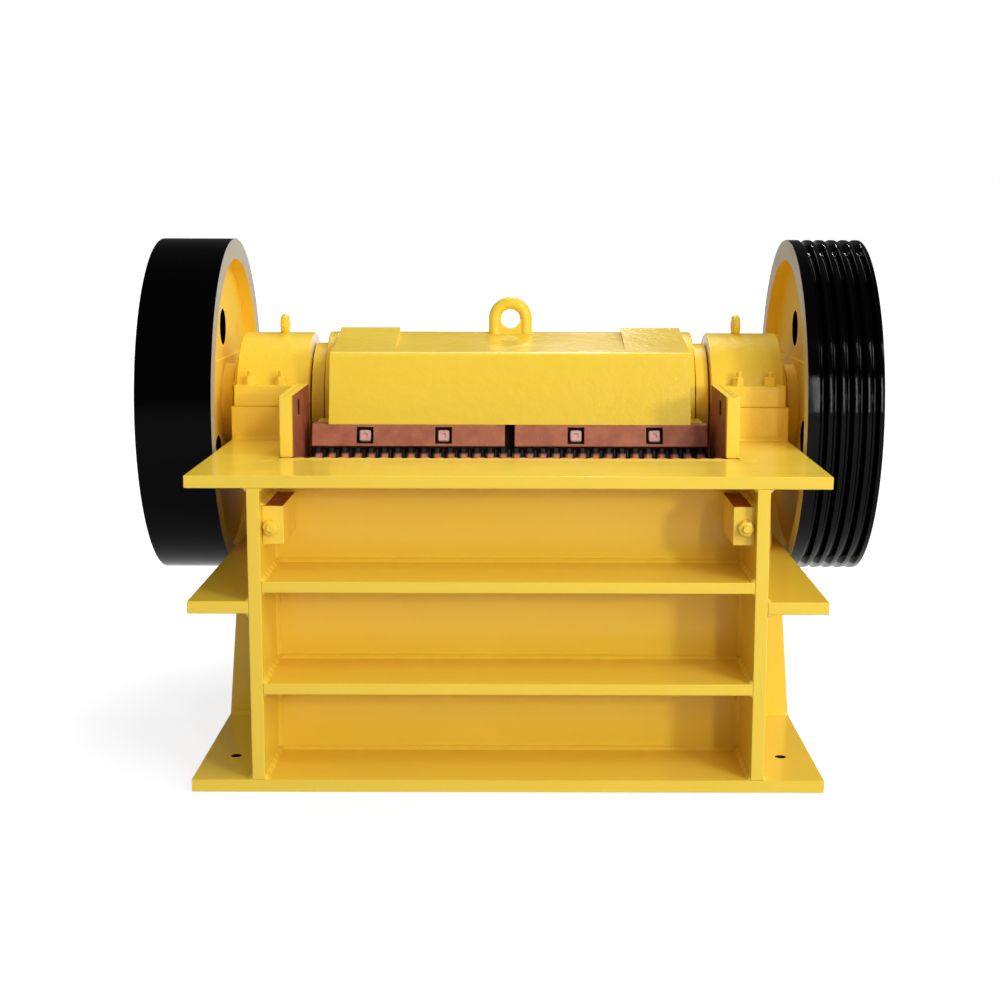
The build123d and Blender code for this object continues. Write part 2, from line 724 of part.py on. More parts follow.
def under_chord(height):
    """The part of the wheel inside its rim that lies under a level chord."""
    face = disc(WHEEL_R - RIM_DEPTH)
    levels = (SHAFT_Z + height, SHAFT_Z + WHEEL_R)
    return face - rectangle((SHAFT_Y - WHEEL_R, SHAFT_Y + WHEEL_R), levels)


def web_holes(turn):
    """The wheel's lightening holes, the first one turned forwards from the top."""
    holes = []
    for i in range(WEB_HOLES):
        angle = math.radians(90 + turn + i * 360 / WEB_HOLES)
        y = SHAFT_Y + WEB_HOLE_PITCH_R * math.cos(angle)
        z = SHAFT_Z + WEB_HOLE_PITCH_R * math.sin(angle)
        holes.append(along_x(disc(WEB_HOLE_R, y, z), WHEEL_INNER, WHEEL_OUTER))
    return holes


def wheel(hole_turn):
    """A wheel of the right side: rim, padded web, hub and balance weight."""
    rim = disc(WHEEL_R) - disc(WHEEL_R - RIM_DEPTH)
    web_outer = WEB_INNER + WEB_THICKNESS
    body = along_x(rim, WHEEL_INNER, WHEEL_OUTER)
    body += along_x(disc(WHEEL_R - RIM_DEPTH / 2), WEB_INNER, web_outer)
    body += along_x(under_chord(WEB_PAD_CHORD), WEB_INNER - WEB_PAD_HEIGHT, WEB_INNER)
    body += along_x(under_chord(-WEIGHT_CHORD), web_outer, web_outer + WEIGHT_THICKNESS)
    body += along_x(disc(HUB_R), WHEEL_INNER, HUB_OUTER)
    body -= along_x(disc(WHEEL_SEAT_R + SEAT_CLEARANCE), WHEEL_INNER, HUB_OUTER)
    for hole in web_holes(hole_turn):
        body -= hole
    return body


def belt_groove(x):
    """A groove for a wedge-shaped belt, turned round the rim at x."""
    top = SHAFT_Z + WHEEL_R
    section = outline(
        (x - GROOVE_TOP / 2, top + OVERCUT),
        (x - GROOVE_TOP / 2, top),
        (x - GROOVE_BOTTOM / 2, top - GROOVE_DEPTH),
        (x + GROOVE_BOTTOM / 2, top - GROOVE_DEPTH),
        (x + GROOVE_TOP / 2, top),
        (x + GROOVE_TOP / 2, top + OVERCUT),
    )
    axis = Axis((0, SHAFT_Y, SHAFT_Z), (1, 0, 0))
    return revolve(Plane.XZ.offset(-SHAFT_Y) * section, axis=axis)


def grooved_wheel():
    """The driven wheel: the plain wheel with belt grooves in its rim."""
    body = wheel(GROOVED_HOLE_TURN)
    for i in range(GROOVES):
        body -= belt_groove(WHEEL_OUTER - GROOVE_EDGE - i * GROOVE_PITCH)
    return body


os.makedirs("parts", exist_ok=True)

save_sides("side_wall", side_wall())
save("front_wall", end_wall(FRONT_WALL, FRONT_WALL_BACK))
save("rear_wall", rear_wall())
save("front_rib_upper", rib(UPPER_RIB_LEVEL, FRONT, FRONT_WALL))
save("front_rib_lower", rib(LOWER_RIB_LEVEL, FRONT, FRONT_WALL))
save("rear_rib_upper", rib(UPPER_RIB_LEVEL, REAR_WALL_BACK, REAR))
save("rear_rib_lower", rib(LOWER_RIB_LEVEL, REAR_WALL_BACK, REAR))
save("top_flange", ring_flange(WALL_OUT, TOP_LEVEL) - housing_space())
save_sides("mid_flange", mid_flange())
save("base_flange", base_flange())
save_sides("gussets", gussets())
save_sides("clamp_block", clamp_block())

save_sides("bearing_pedestal", pedestal())
save_sides("bearing_cap", bearing_cap())
save_sides("bearing_cover", bearing_cover())

save("fixed_jaw_plate", fixed_jaw_plate())
save("fixed_jaw_ledge", fixed_jaw_ledge())
save_sides("cheek_plate", cheek_plate())
save_sides("backing_plate", backing_plate())
save_sides("stop_bar", stop_bar())

save("toggle_plate", toggle_plate())
save("toggle_block", toggle_block())
save("tension_rods", both(tension_rod()))
save("tension_springs", both(tension_spring()))
save("spring_washers", both(spring_washers()))

save("swing_jaw", swing_jaw())
save("moving_jaw_plate", moving_jaw_plate())
save_sides("wedge_bar", wedge_bar())
save("jaw_end_covers", both(jaw_end_cover()))

save("eccentric_shaft", eccentric_shaft())
save("shaft_rings", both(shaft_ring()))
save("flywheel", mirror(wheel(FLYWHEEL_HOLE_TURN), about=Plane.YZ))
save("grooved_wheel", grooved_wheel())
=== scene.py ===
# %% [markdown]
# # A jaw crusher, dressed over its solids
# The solids of a wide jaw crusher are loaded first: a welded plate frame, a swing jaw on an
# eccentric shaft, and two wheels. This lesson gives them what a visitor would see in the yard:
# thick yellow enamel, black gloss rims, machined steel, red-brown wear castings, welds and bolts.
# Most places are read from the loaded frame. The few sizes that its boxes don't tell are named
# just above the function that uses them, in metres.

# %% Load the frame
import json
import math

import bmesh
import bpy
import numpy as np
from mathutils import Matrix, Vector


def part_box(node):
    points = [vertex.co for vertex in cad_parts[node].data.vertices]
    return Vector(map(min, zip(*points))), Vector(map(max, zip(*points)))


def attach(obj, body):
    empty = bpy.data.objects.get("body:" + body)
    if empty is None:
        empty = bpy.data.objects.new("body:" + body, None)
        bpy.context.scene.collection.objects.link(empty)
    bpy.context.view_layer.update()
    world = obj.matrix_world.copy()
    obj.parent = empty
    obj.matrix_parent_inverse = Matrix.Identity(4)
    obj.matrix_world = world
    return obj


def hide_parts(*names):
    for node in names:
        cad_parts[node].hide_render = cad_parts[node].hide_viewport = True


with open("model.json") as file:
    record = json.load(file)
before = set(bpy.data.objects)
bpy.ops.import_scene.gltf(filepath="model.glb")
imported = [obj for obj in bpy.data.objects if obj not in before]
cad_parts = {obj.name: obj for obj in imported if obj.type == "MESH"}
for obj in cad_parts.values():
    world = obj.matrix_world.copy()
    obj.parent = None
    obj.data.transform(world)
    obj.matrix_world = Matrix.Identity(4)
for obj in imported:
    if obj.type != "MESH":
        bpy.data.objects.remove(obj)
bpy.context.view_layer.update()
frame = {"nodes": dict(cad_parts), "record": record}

BODY_OF = {}
for body, members in frame["record"]["behaviour"]["bodies"].items():
    for member in members:
        BODY_OF[member] = body
HANDS = ((-1, "left"), (1, "right"))

# %% [markdown]
# ## The camera
# The viewpoint was solved from the photograph: the corners of the flanges, the rims of the wheels
# and the ribs all fit one plain pinhole camera, low in front of the machine and a little to the
# right of its middle. Its picture centre was off the frame's centre, which the two shifts repeat.

# %% Camera
PICTURE = 1000
FOCAL_PIXELS = 1765
CENTRE_PIXEL = (520, 520)
EYE = (0.024, -5.2585, 1.4725)
PITCH = math.radians(-9.43)
YAW = math.radians(-0.05)
ROLL = math.radians(-0.15)

lens = bpy.data.cameras.new("camera")
lens.sensor_width = 36
lens.lens = FOCAL_PIXELS / PICTURE * lens.sensor_width
lens.shift_x = (PICTURE / 2 - CENTRE_PIXEL[0]) / PICTURE
lens.shift_y = (CENTRE_PIXEL[1] - PICTURE / 2) / PICTURE
camera = bpy.data.objects.new("camera", lens)
camera.location = EYE
camera.rotation_euler = (math.pi / 2 + PITCH, ROLL, YAW)
bpy.context.scene.collection.objects.link(camera)
bpy.context.scene.camera = camera
bpy.context.scene.view_settings.view_transform = "Standard"
print("lens:", round(lens.lens, 2), "mm")

# %% [markdown]
# ## Small helpers for shader nodes
# A material is a graph. One helper adds a node and fills its sockets, so that each finish below
# reads as a short list. Colours are written as they look on a screen, and made linear here.

# %% Node helpers
def screen(red, green, blue, alpha=1.0):
    """Linear colour of a screen colour given from 0 to 255: the usual power curve of a screen."""
    values = np.array([red, green, blue]) / 255
    linear = np.where(values <= 0.04045, values / 12.92, ((values + 0.055) / 1.055) ** 2.4)
    return (*map(float, linear), alpha)


def fill(tree, made, sockets):
    """Fills or links the sockets that are named."""
    for key, value in (sockets or {}).items():
        if isinstance(value, bpy.types.NodeSocket):
            tree.links.new(value, made.inputs[key])
        else:
            made.inputs[key].default_value = value
    return made


def add(tree, kind, sockets=None, **settings):
    """Adds a node, sets its own settings, then fills or links the sockets that are named."""
    made = tree.nodes.new(kind)
    for key, value in settings.items():
        setattr(made, key, value)
    return fill(tree, made, sockets)


def maths(tree, operation, *values):
    """The result of a Math node whose inputs are numbers or sockets."""
    made = add(tree, "ShaderNodeMath", dict(enumerate(values)), operation=operation)
    return made.outputs[0]


def blend_colour(tree, share, first, second):
    """The first colour mixed towards the second by a share from 0 to 1."""
    mix = add(tree, "ShaderNodeMix", {"Factor": share, 6: first, 7: second}, data_type="RGBA")
    return mix.outputs[2]


def noise(tree, vector, scale, detail=3.0, roughness=0.5):
    """A noise value around 0.5."""
    settings = {"Vector": vector, "Scale": scale, "Detail": detail, "Roughness": roughness}
    return add(tree, "ShaderNodeTexNoise", settings).outputs["Fac"]


def spread(tree, value, low, high, start=0.0, end=1.0):
    """A value stretched from low..high to start..end, and held there outside."""
    settings = {"Value": value, "From Min": low, "From Max": high, "To Min": start, "To Max": end}
    return add(tree, "ShaderNodeMapRange", settings).outputs["Result"]


def group(name, inputs, outputs):
    """An empty node group with named inputs (name, kind, value) and outputs (name, kind)."""
    tree = bpy.data.node_groups.new(name, "ShaderNodeTree")
    for label, kind, value in inputs:
        socket = tree.interface.new_socket(label, in_out="INPUT", socket_type=kind)
        socket.default_value = value
    for label, kind in outputs:
        tree.interface.new_socket(label, in_out="OUTPUT", socket_type=kind)
    return tree, tree.nodes.new("NodeGroupInput").outputs, tree.nodes.new("NodeGroupOutput").inputs


def use(tree, shared, sockets=None):
    """Places a shared group in a material and fills its inputs."""
    return fill(tree, add(tree, "ShaderNodeGroup", node_tree=shared), sockets)


FLOAT = "NodeSocketFloat"
COLOUR = "NodeSocketColor"
PLACE = ("Vector", "NodeSocketVector", (0, 0, 0))

# %% [markdown]
# ## Effects that several finishes share
# Sprayed enamel is never quite flat: it has a fine orange peel, and slow waves where the casting
# below was filled. Castings have a sand skin of grains on soft lumps, with patches of small round
# nibs that catch the light. Both are made once, as node groups that put out a height, and each
# finish asks for its own amounts. A third group shifts a colour a little from place to place,
# because no large surface has one even tone. A fourth makes the fine rings that a lathe leaves,
# from the distance to the shaft's line.

# %% Shared effects
SHAFT_LINE = (0, 0.26, 0.925)


def enamel_group():
    """Height of sprayed enamel: fine peel noise plus slow waves, each with its own amount."""
    inputs = [PLACE, ("Peel", FLOAT, 0.3), ("Waves", FLOAT, 1.0)]
    tree, start, end = group("enamel_skin", inputs, [("Height", FLOAT)])
    peel = maths(tree, "MULTIPLY", noise(tree, start["Vector"], 160.0, 2.0), start["Peel"])
    waves = noise(tree, start["Vector"], 14.0)
    tree.links.new(maths(tree, "MULTIPLY_ADD", waves, start["Waves"], peel), end["Height"])
    return tree


def casting_group():
    """Height of a sand-cast skin: fine grains on soft lumps, and patches of small round nibs."""
    inputs = [PLACE, ("Grain", FLOAT, 1.0), ("Lumps", FLOAT, 1.0), ("Nibs", FLOAT, 0.0)]
    tree, start, end = group("cast_skin", inputs, [("Height", FLOAT)])
    grain = maths(tree, "MULTIPLY", noise(tree, start["Vector"], 260.0, 4.0, 0.65), start["Grain"])
    lumps = noise(tree, start["Vector"], 38.0, 5.0, 0.55)
    skin = maths(tree, "MULTIPLY_ADD", lumps, start["Lumps"], grain)
    spots = {"Vector": start["Vector"], "Scale": 75.0}
    cells = add(tree, "ShaderNodeTexVoronoi", spots).outputs["Distance"]
    patches = spread(tree, noise(tree, start["Vector"], 7.0, 3.0), 0.52, 0.6)
    nibs = maths(tree, "MULTIPLY", spread(tree, cells, 0.3, 0.12), patches)
    tree.links.new(maths(tree, "MULTIPLY_ADD", nibs, start["Nibs"], skin), end["Height"])
    return tree


def tone_group():
    """A colour mixed towards a second one where a slow noise is high."""
    inputs = [PLACE, ("Color", COLOUR, (1, 1, 1, 1)), ("Other", COLOUR, (0, 0, 0, 1))]
    inputs += [("Amount", FLOAT, 0.2), ("Scale", FLOAT, 3.0)]
    tree, start, end = group("tone_shift", inputs, [("Color", COLOUR)])
    cloud = noise(tree, start["Vector"], start["Scale"], 5.0, 0.6)
    share = maths(tree, "MULTIPLY", spread(tree, cloud, 0.35, 0.7), start["Amount"])
    tree.links.new(blend_colour(tree, share, start["Color"], start["Other"]), end["Color"])
    return tree


def lathe_group():
    """Fine rings about the shaft's line: noise read at (distance to the line, x)."""
    inputs = [PLACE, ("Rings", FLOAT, 900.0)]
    tree, start, end = group("lathe_rings", inputs, [("Value", FLOAT)])
    split = add(tree, "ShaderNodeSeparateXYZ", {0: start["Vector"]}).outputs
    across = maths(tree, "SUBTRACT", split["Y"], SHAFT_LINE[1])
    above = maths(tree, "SUBTRACT", split["Z"], SHAFT_LINE[2])
    flat = add(tree, "ShaderNodeCombineXYZ", {"Y": across, "Z": above}).outputs[0]
    reach = add(tree, "ShaderNodeVectorMath", {0: flat}, operation="LENGTH").outputs["Value"]
    line = add(tree, "ShaderNodeCombineXYZ", {"X": reach, "Y": split["X"]}).outputs[0]
    tree.links.new(noise(tree, line, start["Rings"]), end["Value"])
    return tree


ENAMEL_SKIN = enamel_group()
CAST_SKIN = casting_group()
TONE_SHIFT = tone_group()
LATHE_RINGS = lathe_group()
print("shared groups:", [g.name for g in bpy.data.node_groups])

# %% [markdown]
# ## The finishes
# Yellow enamel covers the frame, the housings and the jaw: smooth and wet on the plates, lumpy
# with small glints on the castings, and dull on the webs of the wheels. Black enamel covers the
# rims, with more gloss on the grooved one. The wear castings have only a red-brown primer, dull
# and grainy, with painted shade that goes black between their teeth. The side faces of the rims
# were left bare after they were turned, a dull pale grey with fine rings.

# %% Materials
def start_material(name):
    """A material with object coordinates at hand."""
    made = bpy.data.materials.new(name)
    made.use_nodes = True
    tree = made.node_tree
    where = add(tree, "ShaderNodeTexCoord").outputs["Object"]
    return made, tree, tree.nodes["Principled BSDF"], where


def set_bump(tree, shader, height, depth):
    """Feeds a height, worth this many metres, to the shader's normal."""
    bump = add(tree, "ShaderNodeBump", {"Height": height, "Distance": depth})
    tree.links.new(bump.outputs["Normal"], shader.inputs["Normal"])


def set_tone(tree, shader, where, colour, other, amount, scale):
    """Feeds a colour that drifts towards another one to the shader's base colour."""
    values = {"Vector": where, "Color": colour, "Other": other, "Amount": amount, "Scale": scale}
    tone = use(tree, TONE_SHIFT, values)
    tree.links.new(tone.outputs["Color"], shader.inputs["Base Color"])


def set_roughness(tree, shader, cloud, rough, more):
    """Lets the roughness wander from rough to rough + more with a noise."""
    wander = spread(tree, cloud, 0.3, 0.7, rough, rough + more)
    tree.links.new(wander, shader.inputs["Roughness"])


def enamel(name, colour, deep, rough, gloss, skin, skin_values, depth):
    """Paint whose tone drifts to a deeper one, over a skin's height in metres of depth."""
    made, tree, shader, where = start_material(name)
    set_tone(tree, shader, where, colour, deep, 0.4, 2.4)
    height = use(tree, skin, {"Vector": where, **skin_values}).outputs["Height"]
    set_bump(tree, shader, height, depth)
    set_roughness(tree, shader, noise(tree, where, 6.0, 4.0), rough, 0.08)
    shader.inputs["Specular IOR Level"].default_value = gloss
    return made


def casting(name, colour, other, grain, lumps, rough):
    """Primed casting: a dull sandy skin whose colour drifts from grain to grain."""
    made, tree, shader, where = start_material(name)
    set_tone(tree, shader, where, colour, other, 0.8, 22.0)
    skin = use(tree, CAST_SKIN, {"Vector": where, "Grain": grain, "Lumps": lumps})
    set_bump(tree, shader, skin.outputs["Height"], 0.0015)
    set_roughness(tree, shader, noise(tree, where, 40.0), rough, 0.15)
    return made


def turned(name, colour, rings, rough, metal):
    """Turned steel: its tone and height follow fine rings about the shaft's line."""
    made, tree, shader, where = start_material(name)
    shader.inputs["Metallic"].default_value = metal
    value = use(tree, LATHE_RINGS, {"Vector": where, "Rings": rings}).outputs["Value"]
    darker = tuple(c * 0.78 for c in colour[:3]) + (1,)
    shade = blend_colour(tree, spread(tree, value, 0.35, 0.65), darker, colour)
    tree.links.new(shade, shader.inputs["Base Color"])
    set_bump(tree, shader, value, 0.0002)
    set_roughness(tree, shader, noise(tree, where, 9.0), rough, 0.14)
    return made


def mesh_points(mesh):
    """The points of a mesh, one to a row."""
    points = np.zeros(len(mesh.vertices) * 3)
    mesh.vertices.foreach_get("co", points)
    return points.reshape(-1, 3)


def node_points(node):
    """The points of a CAD node."""
    return mesh_points(frame["nodes"][node].data)


def painted_past(made, other, direction, start, end):
    """A finish that gives way to another colour, from start to end along a direction."""
    tree = made.node_tree
    base = tree.nodes["Principled BSDF"].inputs["Base Color"]
    sides = {0: add(tree, "ShaderNodeTexCoord").outputs["Object"], 1: tuple(direction)}
    along = add(tree, "ShaderNodeVectorMath", sides, operation="DOT_PRODUCT").outputs["Value"]
    own = base.links[0].from_socket
    tree.links.new(blend_colour(tree, spread(tree, along, start, end), own, other), base)
    return made


def toothed(name, node, out, crests, others):
    """Primed casting, pale on the teeth, with painted shade that goes black down between them."""
    made = casting(name, crests, others, 0.6, 0.5, 0.5)
    crest = float((node_points(node) @ np.array(out)).max())
    start, end = crest - 0.4 * TOOTH_HEIGHT, crest - 0.8 * TOOTH_HEIGHT
    # Painted shade: the colour goes black down into the valleys between the teeth.
    return painted_past(made, screen(12, 5, 3), out, start, end)


TOOTH_HEIGHT = 0.022
JAW_TILT = math.radians(15.1)
FACE_OUT = np.array((0, -math.cos(JAW_TILT), math.sin(JAW_TILT)))
FACE_UP = np.array((0, math.sin(JAW_TILT), math.cos(JAW_TILT)))
REARWARDS = np.array((0.0, 1.0, 0.0))
UPWARDS = np.array((0.0, 0.0, 1.0))
SHADED_ABOVE = (0.815, 0.823)  # height above which the moving plate is painted black, as shade under the bars
PALE_ABOVE = (1.070, 1.100)  # height above which the inner ends of the caps turn pale

YELLOW = enamel(
    "yellow_enamel", screen(247, 211, 68), screen(243, 202, 58), 0.16, 0.3,
    ENAMEL_SKIN, {"Peel": 0.12, "Waves": 0.0}, 0.0007,
)
CAST_YELLOW = enamel(
    "yellow_enamel_on_casting", screen(247, 211, 62), screen(243, 203, 54), 0.18, 0.35,
    CAST_SKIN, {"Grain": 0.08, "Lumps": 0.9, "Nibs": 0.18}, 0.0016,
)
BLACK = enamel(
    "black_enamel", screen(3, 3, 4), screen(5, 5, 4), 0.06, 0.09,
    ENAMEL_SKIN, {"Peel": 0.15, "Waves": 0.25}, 0.0005,
)
WEB_YELLOW = enamel(
    "yellow_enamel_on_webs", screen(248, 210, 66), screen(240, 192, 56), 0.6, 0.15,
    CAST_SKIN, {"Grain": 0.1, "Lumps": 0.5}, 0.0010,
)
DEAD_BLACK = enamel(
    "black_enamel_of_flywheel", screen(3, 3, 4), screen(5, 5, 4), 0.12, 0.04,
    ENAMEL_SKIN, {"Peel": 0.3, "Waves": 0.4}, 0.0005,
)
SPRING = enamel(
    "black_spring_coat", screen(30, 30, 32), screen(40, 38, 36), 0.3, 0.4,
    ENAMEL_SKIN, {"Peel": 0.4, "Waves": 0.5}, 0.0005,
)
PRIMER = casting("red_primer", screen(190, 112, 72), screen(156, 78, 46), 0.8, 0.7, 0.5)
DEEP_PRIMER = casting("dark_red_primer", screen(168, 86, 52), screen(124, 50, 26), 0.6, 0.6, 0.5)
# A near-black casting: painted shade for the pockets, the hole walls, the cheek bolts and the jaw's
# seat.
PAINTED_SHADE = casting("painted_shade_casting", screen(38, 18, 11), screen(22, 11, 8), 0.6, 0.6, 0.7)
PALE_PRIMER = casting("pale_primer", screen(226, 178, 160), screen(206, 150, 130), 0.5, 0.4, 0.45)
MOVING_TEETH = toothed(
    "moving_teeth", "moving_jaw_plate", FACE_OUT, screen(214, 142, 108), screen(176, 96, 66)
)
# Painted shade: the moving plate turns black near its top, where the wedge bars shade it.
painted_past(MOVING_TEETH, screen(10, 5, 4), UPWARDS, *SHADED_ABOVE)
FIXED_TEETH = toothed(
    "fixed_teeth", "fixed_jaw_plate", REARWARDS, screen(206, 138, 106), screen(176, 92, 60)
)
PLATE_FACE = float(node_points("fixed_jaw_plate")[:, 1].max()) - TOOTH_HEIGHT
FIXED_TOP = enamel(
    "sprayed_plate_top", screen(248, 211, 66), screen(244, 201, 56), 0.3, 0.35,
    CAST_SKIN, {"Grain": 0.2, "Lumps": 0.6}, 0.0012,
)
painted_past(FIXED_TOP, screen(196, 122, 90), REARWARDS, PLATE_FACE - 0.001, PLATE_FACE + 0.007)
CAP_END = enamel(
    "cap_end_pale_at_top", screen(248, 212, 66), screen(244, 203, 56), 0.3, 0.35,
    CAST_SKIN, {"Grain": 0.2, "Lumps": 0.6}, 0.0012,
)
# The inner ends of the caps turn near-white above a height.
painted_past(CAP_END, screen(240, 236, 222), UPWARDS, *PALE_ABOVE)
STEEL = turned("turned_steel", screen(158, 156, 150), 900.0, 0.3, 1.0)
MACHINED = turned("machined_rim", screen(198, 192, 172), 1400.0, 0.5, 0.35)
print("materials:", len(bpy.data.materials))

# %% [markdown]
# ## Light, floor and backdrop
# The machine was photographed in a hall and cut out on white. Its light came from high in front
# and from the right, which leaves the left wheel dull and gives each bay a shadow at its right end.
# A strip lamp stands for the tall bright door whose streaks show on the lands between the belt
# grooves, and a window lamp beside it lights the plates that face forwards. A small spark behind
# the machine makes the glints on the jaw's head. The dome is brighter on the right, and for black
# gloss it is bright at the horizon and dim overhead. The white behind the machine is what camera
# rays see, and the floor's own glow comes up to it with the distance from the machine.

# %% Light and stage
def soft_lamp(name, place, target, size, watts):
    """A rectangular area lamp at a place, turned so that its -Z axis points at the target."""
    data = bpy.data.lights.new(name, "AREA")
    data.shape = "RECTANGLE"
    data.size, data.size_y = size
    data.energy = watts
    lamp = bpy.data.objects.new(name, data)
    away = np.array(target, float) - np.array(place, float)
    away /= np.linalg.norm(away)
    lamp.location = place
    lamp.rotation_euler = (math.acos(-away[2]), 0, math.atan2(away[1], away[0]) - math.pi / 2)
    bpy.context.scene.collection.objects.link(lamp)


LAMPS = [  # name, place, target, size, watts
    ("door", (2.45, -8.2, 2.75), (0.3, 0, 0.9), (0.42, 3.4), 96),
    ("window", (4.6, -6.8, 2.2), (0, -0.5, 0.5), (0.7, 0.7), 138),
    ("key", (3.3, -4.3, 4.9), (0, 0, 0.7), (1.8, 1.8), 106),
    ("fill", (-4.2, -3.8, 3.6), (0, 0, 0.6), (3.2, 3.2), 14),
    ("back", (0.1, 3.2, 6.0), (0, 0.3, 0.7), (2.2, 3.2), 92),
    ("spark", (0.4, 5.2, 4.6), (0.2, 0, 1.1), (0.4, 0.4), 42),
]
for lamp in LAMPS:
    soft_lamp(*lamp)

DOME_LEFT, DOME_RIGHT = 0.2, 1.0  # strength of the dome's light from either side
DOME_SIDE = 0.8  # x of the directions where those strengths are reached
HORIZON, OVERHEAD = 1.0, 0.08  # strength of what gloss mirrors, low and high
HORIZON_BAND = 0.1  # z of the directions where the horizon ends
COOL = (1.0, 0.99, 1.16, 1)  # the dome's light is a little blue, as in an open hall
WHITE = (1, 1, 1, 1)

world = bpy.data.worlds.new("studio")
bpy.context.scene.world = world
world.use_nodes = True
sky = world.node_tree
sky.nodes.clear()
path = add(sky, "ShaderNodeLightPath").outputs
direction = add(sky, "ShaderNodeTexCoord").outputs["Generated"]
aim = add(sky, "ShaderNodeSeparateXYZ", {0: direction}).outputs
mirrored = spread(sky, aim["Z"], 0.0, HORIZON_BAND, HORIZON, OVERHEAD)
hall = spread(sky, aim["X"], -DOME_SIDE, DOME_SIDE, DOME_LEFT, DOME_RIGHT)
through = maths(sky, "MAXIMUM", path["Is Camera Ray"], path["Is Transmission Ray"])
shown = add(sky, "ShaderNodeMix", {"Factor": through, "A": mirrored, "B": 1.0})
seen = maths(sky, "MAXIMUM", through, path["Is Glossy Ray"])
level = add(sky, "ShaderNodeMix", {"Factor": seen, "A": hall, "B": shown.outputs["Result"]})
tint = blend_colour(sky, seen, COOL, WHITE)
light = {"Color": tint, "Strength": level.outputs["Result"]}
dome = add(sky, "ShaderNodeBackground", light)
add(sky, "ShaderNodeOutputWorld", {"Surface": dome.outputs[0]})

FLOOR_REACH = 60.0
FLOOR_SIDES = 96
FLOOR_GREY = (0.32, 0.32, 0.32, 1)
GLOW = (0.78, 1.0)  # glow under the machine and away from it
GLOW_REACH = (1.1, 2.6)  # distances from the middle between those two


def pale_floor():
    """A wide flat disc just under the machine, pale enough to read as the studio's white."""
    around = np.linspace(0, 2 * np.pi, FLOOR_SIDES, endpoint=False)
    rim = FLOOR_REACH * np.array([np.cos(around), np.sin(around)])
    mesh = bpy.data.meshes.new("floor")
    points = np.column_stack([*rim, np.full(FLOOR_SIDES, -0.001)])
    mesh.from_pydata(points.tolist(), [], [list(range(FLOOR_SIDES))])
    floor = bpy.data.objects.new("floor", mesh)
    bpy.context.scene.collection.objects.link(floor)
    made, tree, shader, where = start_material("pale_floor")
    shader.inputs["Base Color"].default_value = FLOOR_GREY
    shader.inputs["Roughness"].default_value = 0.8
    shader.inputs["Specular IOR Level"].default_value = 0.1
    reach = add(tree, "ShaderNodeVectorMath", {0: where}, operation="LENGTH").outputs["Value"]
    rays = add(tree, "ShaderNodeLightPath").outputs
    seen = maths(tree, "MAXIMUM", rays["Is Camera Ray"], rays["Is Transmission Ray"])
    seen = maths(tree, "MAXIMUM", seen, rays["Is Glossy Ray"])
    glow = maths(tree, "MULTIPLY", seen, spread(tree, reach, *GLOW_REACH, *GLOW))
    shader.inputs["Emission Color"].default_value = WHITE
    tree.links.new(glow, shader.inputs["Emission Strength"])
    mesh.materials.append(made)
    return floor


pale_floor()
print("lamps:", len(bpy.data.lights))

# %% [markdown]
# ## Rounded plates from the solids
# A flame-cut plate or a casting never has a knife edge, and the light along a rounded edge is most
# of what makes paint look real. The solids are right in shape and place but sharp, so each gets a
# copy: loose triangles are merged, flat faces joined, and a bevel rounds the edges.

# %% Copies with rounded edges
def link(name, mesh, material, body):
    """Puts a finished mesh in the scene, on a body."""
    made = bpy.data.objects.new(name, mesh)
    bpy.context.scene.collection.objects.link(made)
    mesh.materials.clear()
    for finish in material if isinstance(material, list) else [material]:
        mesh.materials.append(finish)
    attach(made, body)
    return made


def rounded_copy(node, material, radius, steps=2):
    """The node's mesh with merged points and joined flats, its sharp edges rounded by a bevel."""
    mesh = frame["nodes"][node].data.copy()
    mesh.name = f"{node}_shape"
    work = bmesh.new()
    work.from_mesh(mesh)
    bmesh.ops.remove_doubles(work, verts=work.verts, dist=2e-5)
    flat = math.radians(0.6)
    bmesh.ops.dissolve_limit(work, angle_limit=flat, verts=work.verts, edges=work.edges)
    work.to_mesh(mesh)
    work.free()
    mesh.shade_smooth()
    made = link(f"{node}_dressed", mesh, material, BODY_OF[node])
    bevel = made.modifiers.new("rounding", "BEVEL")
    bevel.width = radius
    bevel.segments = steps
    bevel.limit_method = "ANGLE"
    bevel.angle_limit = math.radians(32)
    bevel.use_clamp_overlap = True
    flats = made.modifiers.new("flat_faces", "WEIGHTED_NORMAL")
    flats.mode = "FACE_AREA"
    flats.weight = 50
    flats.keep_sharp = True
    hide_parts(node)
    return made


WELDED = ("side_wall", "front_", "rear_", "top_", "mid_", "base_", "gussets", "clamp", "stop_bar")
WELDED += ("backing_plate", "toggle_block", "fixed_jaw_ledge", "shaft_rings")
CAST = ("bearing", "swing_jaw", "jaw_end")
FINISHES = [  # starts of the names, finish, radius, steps
    (WELDED, YELLOW, 0.0025, 2),
    (("swing_jaw",), CAST_YELLOW, 0.007, 3),
    (CAST, CAST_YELLOW, 0.004, 3),
    (("moving_jaw",), MOVING_TEETH, 0.0025, 2),
    (("fixed_jaw_plate",), FIXED_TEETH, 0.0025, 2),
    (("wedge",), PRIMER, 0.003, 2),
    (("cheek",), DEEP_PRIMER, 0.003, 2),
    (("",), STEEL, 0.001, 2),
]
LEFT_TO_OTHER_CELLS = ("flywheel", "grooved_wheel", "tension_springs")
dressed = {}
for node in frame["nodes"]:
    if node in LEFT_TO_OTHER_CELLS:
        continue
    for starts, material, radius, steps in FINISHES:
        if node.startswith(starts):
            dressed[node] = rounded_copy(node, material, radius, steps)
            break
print("dressed copies:", len(dressed))
